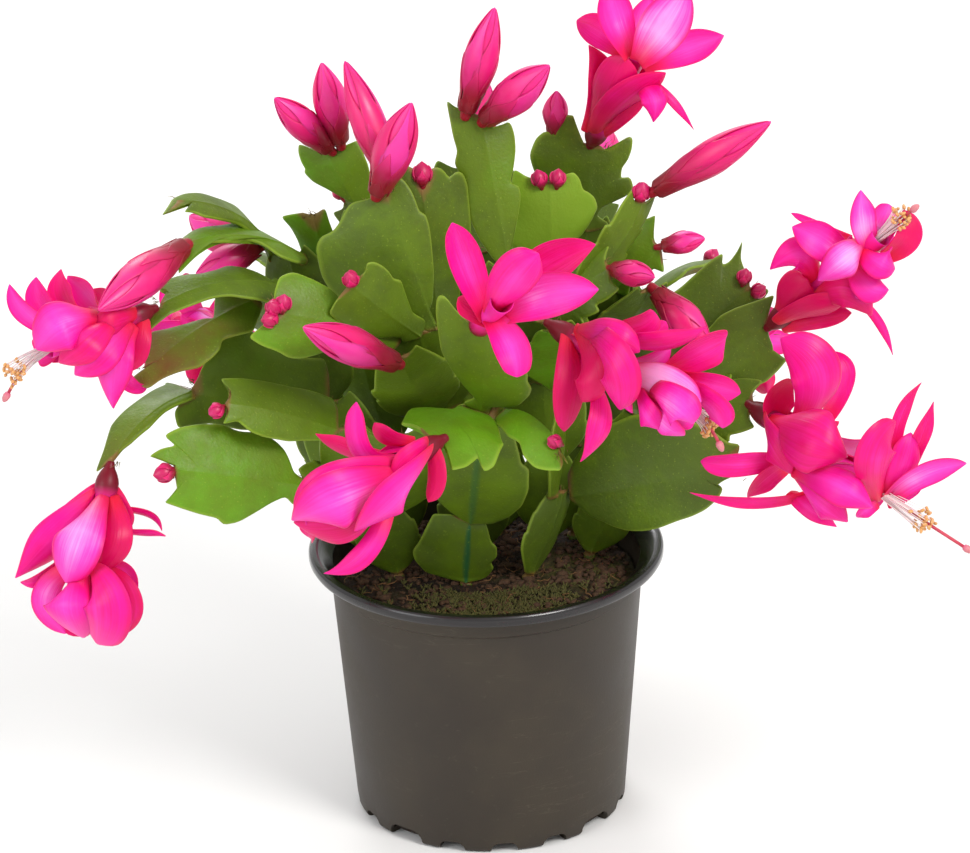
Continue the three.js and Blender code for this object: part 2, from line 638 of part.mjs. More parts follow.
function makePot() {
  let pot = solid(turned([...POT_OUTSIDE, ...POT_INSIDE], POT_SIDES));
  for (let set = 0; set < NOTCH_SETS; set++) {
    for (let place = 0; place < NOTCHES_IN_SET; place++) {
      const notch = place === 0 ? WIDE_NOTCH : SMALL_NOTCH;
      const cut = new THREE.CylinderGeometry(notch.width / 2, notch.width / 2, NOTCH_REACH, notch.sides);
      cut.rotateZ(Math.PI / 2).rotateX(Math.PI / notch.sides);
      cut.scale(1, 1, (2 * notch.height) / notch.width);
      cut.translate(POT_FOOT_RADIUS, 0, 0);
      cut.rotateZ(FIRST_NOTCH + (set * NOTCHES_IN_SET + place) * NOTCH_STEP);
      pot = pot.subtract(solid(cut));
    }
  }
  return pot;
}

function makeSoil(roots) {
  const inside = POT_INSIDE.slice(1, -1).map(([r, z]) => [r - 1.2 * GAP, Math.max(z, POT_FLOOR + GAP)]);
  const top = [
    [0, SOIL_TOP],
    [28, SOIL_TOP - 0.3],
    [46, SOIL_TOP - 2],
  ];
  const profile = [...top, ...inside, [0, POT_FLOOR + GAP]].reverse();
  let soil = solid(turned(profile, POT_SIDES / 2));
  for (const root of roots) {
    const radius = ROOT_RADIUS + HOLE_MARGIN;
    const hole = new THREE.CylinderGeometry(radius, radius, 2 * (ROOT_DEPTH + HOLE_DEEPER), ROOT_SIDES);
    hole.rotateX(Math.PI / 2).translate(root.x, root.y, SOIL_TOP);
    soil = soil.subtract(solid(hole));
  }
  return soil;
}

function smallBud(base, tip, radius) {
  const axis = tip.clone().sub(base);
  const length = axis.length();
  const profile = [
    [0, -1.5],
    [radius, length * 0.4],
    [radius * 0.7, length * 0.8],
    [0, length],
  ];
  return stoodOn(turned(profile, SMALL_BUD_SIDES), base, axis.normalize());
}

function bigBud(base, tip, radius) {
  const axis = tip.clone().sub(base);
  const length = axis.length();
  const profile = [
    [0, 0],
    [2, 0],
    [3.1, length * 0.12],
    [radius, length * 0.48],
    [radius * 0.7, length * 0.78],
    [0, length],
  ];
  return stoodOn(turned(profile, BUD_SIDES), base, axis.normalize());
}

// The necks on one tip stand side by side across it, in the order in which their segments lead off.
function neckOf(step, segments, place) {
  const [from] = step;
  const carrier = segments.find(([, to]) => to === from);
  const neck = place(from).clone();
  if (!carrier) return neck;
  const [base, , width, face, tilt] = carrier;
  const { axis, side } = framed(place(base), place(from), face, tilt);
  const reach = ([, to]) => place(to).clone().sub(place(from)).dot(side);
  const fellows = segments.filter(([other]) => other === from).sort((a, b) => reach(a) - reach(b));
  const slot = fellows.indexOf(step) - (fellows.length - 1) / 2;
  const spacing = (NECK_SPREAD * width) / Math.max(fellows.length - 1, 1);
  return neck.addScaledVector(axis, -NECK_SUNK).addScaledVector(side, slot * spacing);
}

function makeStem({ segments, buds }, place) {
  const parts = segments.map((step) => {
    const [, to, width, face, tilt, bow, outline] = step;
    const neck = neckOf(step, segments, place);
    return solid(segment(neck, place(to), width, face, tilt, bow, outline));
  });
  const root = place(segments[0][0]);
  const peg = new THREE.CylinderGeometry(ROOT_RADIUS, ROOT_RADIUS, ROOT_DEPTH + ROOT_ABOVE, ROOT_SIDES);
  peg.rotateX(Math.PI / 2).translate(root.x, root.y, SOIL_TOP + (ROOT_ABOVE - ROOT_DEPTH) / 2);
  parts.push(solid(peg));
  for (const [base, tip, radius] of buds) parts.push(solid(smallBud(vector(base), vector(tip), radius)));
  return joined(parts);
}

// An even random number from 0 to 1, the same at every run.
let seed = FIRST_SEED;
function random() {
  seed = (seed * 16807) % 2147483647;
  return seed / 2147483647;
}

function ringedPetals(foot, axis, length) {
  const across = axis.clone().cross(UP).normalize();
  const up = across.clone().cross(axis);
  const petals = [];
  for (const [count, share, middleAlong, middleOut, tipAlong, tipOut, width] of RINGS) {
    for (let i = 0; i < count; i++) {
      const turn = ((i + share + TURN_UNEVEN * random()) / count) * 2 * Math.PI;
      const out = across.clone().multiplyScalar(Math.cos(turn)).addScaledVector(up, Math.sin(turn));
      const root = foot.clone().addScaledVector(axis, share * length);
      const spot = (along, reach) => root.clone().addScaledVector(axis, along).addScaledVector(out, reach);
      const middle = spot(middleAlong, middleOut);
      const tip = spot(tipAlong + TIP_UNEVEN * (random() - 0.5), tipOut + TIP_UNEVEN * (random() - 0.5));
      petals.push([share, middle.toArray(), tip.toArray(), width]);
    }
  }
  return petals;
}

function makeBloom({ base, mouth, pistil, petals }) {
  const foot = vector(base);
  const axis = vector(mouth).sub(foot);
  const length = axis.length();
  axis.normalize();
  const profile = [
    [0, 0],
    [2.4, 0],
    [4.1, length * 0.12],
    [3, length * 0.27],
    [4.2, length],
    [0, length],
  ];
  const parts = [solid(stoodOn(turned(profile, TUBE_SIDES), foot, axis))];
  for (const [share, middle, tip, width] of petals || ringedPetals(foot, axis, length)) {
    const root = foot.clone().addScaledVector(axis, share * length);
    const outward = vector(middle).sub(root);
    outward.addScaledVector(axis, -outward.dot(axis)).normalize();
    root.addScaledVector(outward, PETAL_ROOT);
    const shape = petal(root, vector(middle), vector(tip), width, axis, petals ? FACING : 0);
    parts.push(solid(shape));
  }
  if (!pistil) return joined(parts);
  const socket = new THREE.CylinderGeometry(SOCKET_RADIUS, SOCKET_RADIUS, length, TUBE_SIDES);
  socket.rotateX(Math.PI / 2).translate(0, 0, length * (SOCKET_FLOOR + 0.5));
  return joined(parts).subtract(solid(stoodOn(socket, foot, axis)));
}

function makeStamens({ base, mouth, pistil }) {
  const foot = vector(base);
  const axis = vector(mouth).sub(foot);
  const length = axis.length();
  axis.normalize();
  const start = length * SOCKET_FLOOR + GAP;
  const profile = [
    [0, start],
    [SOCKET_RADIUS - SOCKET_MARGIN, start],
    [SOCKET_RADIUS - SOCKET_MARGIN, length],
    [SOCKET_RADIUS, length + FILAMENTS_OUT * 0.8],
    [SOCKET_RADIUS - SOCKET_MARGIN, length + FILAMENTS_OUT],
    [0, length + FILAMENTS_OUT],
  ];
  const parts = [solid(stoodOn(turned(profile, TUBE_SIDES), foot, axis))];
  if (pistil.length) {
    const inner = foot.clone().addScaledVector(axis, length + SOCKET_RADIUS);
    const outer = foot.clone().addScaledVector(axis, length + FILAMENTS_OUT);
    const path = new THREE.QuadraticBezierCurve3(inner, outer, vector(pistil));
    const ring = new THREE.Path().absarc(0, 0, STYLE_RADIUS, 0, 2 * Math.PI, false);
    const section = new THREE.Shape(ring.getPoints(2).slice(0, -1));
    const options = { steps: 5, bevelEnabled: false, extrudePath: path };
    parts.push(solid(new THREE.ExtrudeGeometry(section, options)));
  }
  return joined(parts);
}

// How far along `axis` a solid goes to stand GAP clear of what carries it.
function seatOf(made, axis, carrier) {
  const seat = axis.clone().multiplyScalar(-SEAT_SUNK);
  while (made.translate(seat.toArray()).minGap(carrier, 1) < GAP) seat.addScaledVector(axis, SEAT_STEP);
  return seat;
}

const MATERIALS = {
  pot: new THREE.MeshStandardMaterial({ color: 0x4a4542, roughness: 0.45, metalness: 0 }),
  soil: new THREE.MeshStandardMaterial({ color: 0x3a2c1c, roughness: 0.95, metalness: 0 }),
  stem: new THREE.MeshStandardMaterial({ color: 0x4d7326, roughness: 0.5, metalness: 0 }),
  bud: new THREE.MeshStandardMaterial({ color: 0xd8165e, roughness: 0.5, metalness: 0 }),
  petal: new THREE.MeshStandardMaterial({ color: 0xf2208c, roughness: 0.5, metalness: 0 }),
  stamen: new THREE.MeshStandardMaterial({ color: 0xf3dcc4, roughness: 0.6, metalness: 0 }),
};

const group = new THREE.Group();
function add(name, made, material, seat = new THREE.Vector3()) {
  const mesh = new THREE.Mesh(geometryOf(made), MATERIALS[material]);
  mesh.name = name;
  mesh.position.copy(seat);
  group.add(mesh);
}

const roots = Object.values(STEMS).map(({ segments }) => vector(JOINTS[segments[0][0]]));
add("pot", makePot(), "pot");
add("soil", makeSoil(roots), "soil");
const stems = {};
for (const [name, stem] of Object.entries(STEMS)) {
  stems[name] = makeStem(stem, (joint) => vector(JOINTS[joint]));
  add(name, stems[name], "stem");
}
for (const [name, [stem, base, tip, radius]] of Object.entries(BUDS)) {
  const axis = vector(tip).sub(vector(base)).normalize();
  const bud = solid(bigBud(vector(base), vector(tip), radius));
  add(name, bud, "bud", seatOf(bud, axis, stems[stem]));
}
for (const [name, bloom] of Object.entries(BLOOMS)) {
  const axis = vector(bloom.mouth).sub(vector(bloom.base)).normalize();
  const made = makeBloom(bloom);
  const seat = seatOf(made, axis, stems[bloom.stem]);
  add(name, made, "petal", seat);
  if (bloom.pistil) add(name.replace("bloom", "stamens"), makeStamens(bloom), "stamen", seat);
}

export default group;
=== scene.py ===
"""A christmas cactus in bloom in its nursery pot: flat toothed stem segments, buds, open blooms and soil.

Everything is in metres, +Z up, with the origin at the centre of the pot's base. JOINTS, STEMS, SMALL_BUDS,
BUDS and BLOOMS hold the millimetres that the part's solids are made from, and MM turns them into metres.
"""

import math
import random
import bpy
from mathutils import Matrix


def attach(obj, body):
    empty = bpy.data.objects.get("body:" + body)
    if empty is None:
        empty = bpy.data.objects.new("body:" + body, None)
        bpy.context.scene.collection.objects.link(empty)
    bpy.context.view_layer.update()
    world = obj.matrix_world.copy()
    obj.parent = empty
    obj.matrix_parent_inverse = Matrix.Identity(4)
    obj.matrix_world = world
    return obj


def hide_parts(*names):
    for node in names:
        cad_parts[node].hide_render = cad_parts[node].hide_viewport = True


bl_info = {
    "name": "Potted Christmas Cactus",
    "version": (1, 0, 0),
    "blender": (4, 5, 0),
    "location": "3D View > Sidebar > Cactus",
    "description": "Builds the fine surfaces of a christmas cactus in its pot around the packed solids",
    "category": "Object",
}

import bmesh
import bpy
from mathutils import Matrix, Vector, noise

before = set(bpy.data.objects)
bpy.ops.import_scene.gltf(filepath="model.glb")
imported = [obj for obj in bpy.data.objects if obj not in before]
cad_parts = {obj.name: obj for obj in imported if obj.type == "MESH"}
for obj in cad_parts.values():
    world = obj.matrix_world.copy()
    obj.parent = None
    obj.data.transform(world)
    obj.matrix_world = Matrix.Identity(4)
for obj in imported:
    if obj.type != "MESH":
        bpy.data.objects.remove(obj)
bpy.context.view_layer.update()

MM = 0.001
UP = Vector((0, 0, 1))
TO_VIEWER = Vector((0, -1, 0))
TOOTHED = "toothed"
PLAIN = "plain"

# Joints of the stems, in millimetres, where one segment ends and the next begins.
JOINTS = {
  # The stem at the front of the pot.
  "f0": (-7, -12, 86), "f1": (-5, -18, 112), "f2": (0, -42, 162),
  "f3": (2, -56, 196), "f4": (-17, -72, 163), "f5": (25, -66, 157),
  # The stem with the edge-on segment and the large dark one to its right.
  "g0": (14, -8, 86), "g1": (26, -4, 115), "g2": (26, -6, 154), "g3": (30, -44, 188), "g4": (85, -28, 134),
  # The stem that arches to the right.
  "r0": (35, 9, 86), "r1": (46, 8, 110), "r2": (57, 8, 136), "r3": (90, -14, 149),
  "r4": (69, 8, 149), "r5": (96, 6, 170), "r6": (64, 20, 155), "r7": (91, 23, 176),
  # The stem that spreads low to the left.
  "l0": (-30, -4, 86), "l1": (-36, -14, 114), "l2": (-60, -44, 136), "l3": (-101, -60, 150),
  "l4": (-48, -34, 152), "l5": (-84, -52, 169), "l6": (-52, -10, 152), "l7": (-97, -26, 162),
  "l9": (-121, -54, 150), "n2": (-30, -34, 150),
  # The stem that arches high to the left.
  "m0": (-33, 10, 86), "m1": (-45, 8, 115), "m2": (-55, 6, 145), "m3": (-60, 4, 171), "m4": (-63, 0, 201),
  "m5": (-99, -22, 228), "m6": (-95, -30, 216), "m7": (-68, -16, 193), "m8": (-104, -44, 200),
  "m10": (-110, -40, 174),
  # The stem in the middle.
  "t0": (-2, 12, 86), "t1": (-6, 8, 114), "t2": (-12, 2, 146), "t3": (-21, -26, 183), "t4": (-30, -20, 229),
  "t5": (-42, -42, 206), "t6": (-15, -10, 179), "t7": (-19, -16, 231), "t8": (-66, -46, 198),
  "t9": (-27, -42, 180),
  # The tall stem behind the middle.
  "d0": (22, 22, 86), "d1": (22, 20, 116), "d2": (20, 14, 150), "d3": (16, -4, 176), "d4": (9, -12, 200),
  "d5": (1, 0, 248), "d6": (34, -4, 187), "d7": (54, -2, 218), "d8": (24, 8, 196), "d9": (24, 8, 221),
  "d10": (43, -14, 198), "d12": (22, -20, 183),
  # The stem at the back right.
  "e0": (30, 26, 86), "e1": (38, 30, 118), "e2": (38, 32, 156), "e3": (36, 26, 199), "e4": (38, 26, 227),
  "e5": (46, 12, 182), "e6": (60, 4, 198), "e7": (56, 4, 184),
  "e8": (58, 52, 130), "e9": (82, 68, 134), "e10": (58, 52, 162), "e11": (78, 66, 168),
  # The stem at the back left.
  "k0": (-26, 26, 86), "k1": (-38, 28, 120), "k2": (-42, 24, 160), "k3": (-37, 16, 208), "k4": (-50, 18, 230),
  "k5": (-55, 10, 211), "k6": (-62, 48, 136), "k7": (-88, 64, 148), "k8": (-60, 44, 172),
  "k9": (-80, 60, 178),
  # The low stem at the back.
  "b0": (-6, 38, 86), "b1": (-8, 48, 116), "b2": (-14, 66, 144), "b3": (-18, 92, 160), "b4": (18, 66, 142),
  "b5": (32, 90, 156), "b6": (-42, 84, 156),
  # The tall stem at the back.
  "q0": (4, 28, 86), "q1": (2, 34, 118), "q2": (2, 40, 152), "q3": (0, 46, 184), "q4": (28, 56, 176),
  "q5": (-26, 54, 178), "q6": (-2, 60, 208), "q7": (42, 76, 192), "q8": (-46, 74, 192), "q9": (8, 70, 168),
}

# The segments of each stem: (from, to, width, face, tilt, bow, outline).
STEMS = {
  "stem_front": (
    ("f0", "f1", 29, 0, 10, 0.03, TOOTHED), ("f1", "f2", 34, 0, 10, 0.05, TOOTHED),
    ("f2", "f3", 33, -5, 25, 0.05, TOOTHED), ("f2", "f4", 24, 0, 75, 0.08, TOOTHED),
    ("f2", "f5", 22, 10, 70, 0.15, TOOTHED),
  ),
  "stem_middle": (
    ("g0", "g1", 24, 60, 5, 0.02, PLAIN), ("g1", "g2", 22, 80, 5, 0.04, PLAIN),
    ("g2", "g3", 31, 10, 60, 0.08, TOOTHED), ("g1", "g4", 42, 5, 15, 0.06, TOOTHED),
  ),
  "stem_right": (
    ("r0", "r1", 22, 20, 0, 0.02, PLAIN), ("r1", "r2", 26, -10, 20, 0.03, PLAIN),
    ("r2", "r3", 26, 0, 50, 0.08, TOOTHED), ("r2", "r4", 20, 10, 10, 0, PLAIN),
    ("r4", "r5", 35, 0, 20, 0.04, TOOTHED), ("r2", "r6", 26, 20, 10, 0, PLAIN),
    ("r6", "r7", 33, -5, 20, 0.04, TOOTHED),
  ),
  "stem_left": (
    ("l0", "l1", 22, 0, 10, 0.02, PLAIN), ("l1", "l2", 26, -20, 40, 0.04, PLAIN),
    ("l2", "l3", 33, -10, 30, 0.06, TOOTHED), ("l1", "l4", 24, -10, 30, 0.02, PLAIN),
    ("l4", "l5", 26, -10, 45, 0.06, TOOTHED), ("l1", "l6", 28, -10, 10, 0.02, PLAIN),
    ("l6", "l7", 33, -10, 20, 0.06, TOOTHED), ("l7", "l9", 24, -30, 60, 0.12, TOOTHED),
    ("l1", "n2", 34, 0, 10, 0.04, PLAIN),
  ),
  "stem_high_left": (
    ("m0", "m1", 22, 0, 5, 0.02, PLAIN), ("m1", "m2", 26, -10, 10, 0.02, PLAIN),
    ("m2", "m3", 28, -10, 10, 0.02, PLAIN), ("m3", "m4", 26, -20, 10, 0.02, PLAIN),
    ("m4", "m5", 26, -20, 65, 0.12, TOOTHED), ("m4", "m6", 22, -20, 70, 0.1, TOOTHED),
    ("m3", "m7", 26, -10, 20, 0.02, PLAIN), ("m7", "m8", 28, -20, 60, 0.12, TOOTHED),
    ("m7", "m10", 24, -20, 50, 0.1, TOOTHED),
  ),
  "stem_centre": (
    ("t0", "t1", 24, 0, 5, 0.02, PLAIN), ("t1", "t2", 28, 10, 10, 0.02, PLAIN),
    ("t2", "t3", 30, -5, 20, 0.03, PLAIN), ("t3", "t4", 42, -5, 10, 0.05, TOOTHED),
    ("t3", "t5", 25, -10, 20, 0.06, TOOTHED), ("t2", "t6", 26, 10, 10, 0.02, PLAIN),
    ("t6", "t7", 24, 15, 10, 0.04, TOOTHED), ("t3", "t8", 27, -5, 30, 0.08, TOOTHED),
    ("t2", "t9", 28, 0, 15, 0.04, PLAIN),
  ),
  "stem_tall": (
    ("d0", "d1", 24, 0, 0, 0.02, PLAIN), ("d1", "d2", 28, 0, 5, 0.02, PLAIN),
    ("d2", "d3", 28, 10, 15, 0.02, PLAIN), ("d3", "d4", 24, 0, 15, 0.02, PLAIN),
    ("d4", "d5", 24, 5, 10, 0.04, TOOTHED), ("d3", "d6", 20, 30, 10, 0, PLAIN),
    ("d6", "d7", 18, 50, 10, 0.06, TOOTHED), ("d2", "d8", 22, 0, 5, 0.02, PLAIN),
    ("d8", "d9", 28, 0, 10, 0.04, TOOTHED), ("d3", "d10", 22, 20, 50, 0.06, TOOTHED),
    ("d2", "d12", 30, 0, 20, 0.05, PLAIN),
  ),
  "stem_back_right": (
    ("e0", "e1", 24, 10, 0, 0.02, PLAIN), ("e1", "e2", 28, 0, 5, 0.02, PLAIN),
    ("e2", "e3", 28, 5, 5, 0.02, PLAIN), ("e3", "e4", 38, 0, 10, 0.03, TOOTHED),
    ("e2", "e5", 18, 20, 20, 0.04, PLAIN), ("e5", "e6", 22, 10, 30, 0.06, TOOTHED),
    ("e2", "e7", 24, 30, 20, 0.04, PLAIN), ("e1", "e8", 26, 150, 20, 0.04, PLAIN),
    ("e8", "e9", 32, 150, 40, 0.08, TOOTHED), ("e2", "e10", 26, 150, 15, 0.02, PLAIN),
    ("e10", "e11", 28, 150, 40, 0.08, PLAIN),
  ),
  "stem_back_left": (
    ("k0", "k1", 24, -10, 0, 0.02, PLAIN), ("k1", "k2", 28, -10, 5, 0.02, PLAIN),
    ("k2", "k3", 28, -5, 5, 0.02, PLAIN), ("k3", "k4", 24, -10, 10, 0.04, TOOTHED),
    ("k2", "k5", 24, -10, 15, 0.04, TOOTHED), ("k1", "k6", 26, 210, 20, 0.04, PLAIN),
    ("k6", "k7", 32, 210, 40, 0.08, TOOTHED), ("k2", "k8", 26, 210, 15, 0.02, PLAIN),
    ("k8", "k9", 28, 210, 40, 0.08, PLAIN),
  ),
  "stem_far_low": (
    ("b0", "b1", 26, 180, 10, 0.02, PLAIN), ("b1", "b2", 28, 180, 20, 0.04, PLAIN),
    ("b2", "b3", 34, 185, 40, 0.08, TOOTHED), ("b1", "b4", 28, 170, 20, 0.04, PLAIN),
    ("b4", "b5", 30, 165, 40, 0.08, PLAIN), ("b2", "b6", 30, 195, 40, 0.08, PLAIN),
  ),
  "stem_far_tall": (
    ("q0", "q1", 26, 180, 0, 0.02, PLAIN), ("q1", "q2", 30, 180, 5, 0.02, PLAIN),
    ("q2", "q3", 32, 180, 10, 0.03, PLAIN), ("q3", "q6", 34, 180, 15, 0.05, TOOTHED),
    ("q2", "q4", 26, 170, 15, 0.03, PLAIN), ("q4", "q7", 30, 160, 30, 0.06, TOOTHED),
    ("q2", "q5", 26, 190, 15, 0.03, PLAIN), ("q5", "q8", 30, 200, 30, 0.06, TOOTHED),
    ("q2", "q9", 28, 175, 30, 0.06, PLAIN),
  ),
}

# Small buds on the stems' tips, and big buds: (base, tip, radius).
SMALL_BUDS = (
  ((25, -66, 158), (18, -69, 163), 2.2), ((88, 22, 177), (91, 20, 192), 2.4),
  ((91, 22, 173), (102, 18, 182), 2.4), ((-84, -52, 168), (-90, -58, 167), 2.4),
  ((-100, -59, 149), (-111, -65, 149), 3), ((-18, -16, 229), (-18, -15, 244), 3.2),
  ((-41, -41, 205), (-43, -47, 214), 2.6), ((-64, -46, 198), (-62, -48, 211), 2.6),
  ((-66, -46, 198), (-68, -53, 206), 2.6), ((-66, -47, 196), (-71, -54, 199), 2.6),
  ((53, -2, 217), (55, -6, 228), 3), ((21, 7, 219), (19, 6, 228), 2.6),
  ((26, 7, 219), (27, 6, 228), 2.6), ((78, 66, 167), (84, 72, 174), 2.6),
  ((32, 90, 155), (36, 99, 158), 2.6), ((-46, 74, 191), (-51, 80, 199), 2.6),
)
BUDS = {
  "bud_upper_left_a": ((-48, 16, 230), (-65, 6, 252), 5),
  "bud_upper_left_b": ((-45, 16, 232), (-50, 10, 262), 5.5),
  "bud_top_left_a": ((-33, -22, 228), (-21, -34, 263), 6.5),
  "bud_top_left_b": ((-28, -14, 230), (-43, 0, 269), 5.5),
  "bud_top_a": ((-3, -2, 250), (7, -6, 287), 5.5),
  "bud_top_b": ((4, -4, 248), (25, -20, 272), 6),
  "bud_top_right": ((58, -4, 221), (95, -20, 250), 5.5),
  "bud_left": ((-95, -34, 217), (-121, -70, 210), 6.5),
  "bud_left_behind": ((-72, 0, 203), (-93, -8, 197), 5),
  "bud_front_left": ((-29, -46, 180), (-58, -70, 203), 6),
  "bud_right_low": ((58, 3, 183), (76, -10, 168), 5.5),
  "bud_right_mid": ((43, -14, 198), (56, -30, 201), 4),
  "bud_right_high": ((58, 4, 198), (72, 0, 202), 3.5),
  "bud_top_back": ((26, 30, 231), (27, 30, 246), 4),
  "bud_far_left": ((-81, 61, 178), (-100, 76, 186), 6),
  "bud_far_top": ((-2, 61, 208), (4, 74, 232), 5.5),
  "bud_far_right": ((42, 77, 192), (46, 98, 206), 5.5),
}

# Blooms: where each starts, where its tube opens, and its pistil's tip where that shows. One marked open
# shows its throat, so no spare petals fill it.
BLOOMS = {
  "bloom_left": {"base": (-106, -46, 200), "mouth": (-138, -66, 196), "pistil": (-151, -70, 182)},
  "bloom_low_left": {"base": (-121, -52, 151), "mouth": (-129, -72, 112)},
  "bloom_front": {"base": (-15, -76, 164), "mouth": (-60, -104, 150)},
  "bloom_centre": {"base": (-1, -58, 196), "mouth": (7, -88, 217), "open": True},
  "bloom_centre_right": {"base": (26, -48, 190), "mouth": (70, -78, 172), "pistil": (78, -84, 163)},
  "bloom_right_high": {"base": (96, 4, 169), "mouth": (131, -14, 207)},
  "bloom_right_low": {"base": (92, -20, 148), "mouth": (131, -58, 133), "pistil": (158, -70, 118)},
  "bloom_top": {"base": (39, 24, 230), "mouth": (54, 4, 268)},
  "bloom_far_left": {"base": (-89, 65, 148), "mouth": (-106, 100, 134)},
  "bloom_far_right": {"base": (83, 69, 134), "mouth": (92, 106, 122)},
  "bloom_far": {"base": (-18, 94, 160), "mouth": (-26, 130, 150)},
}

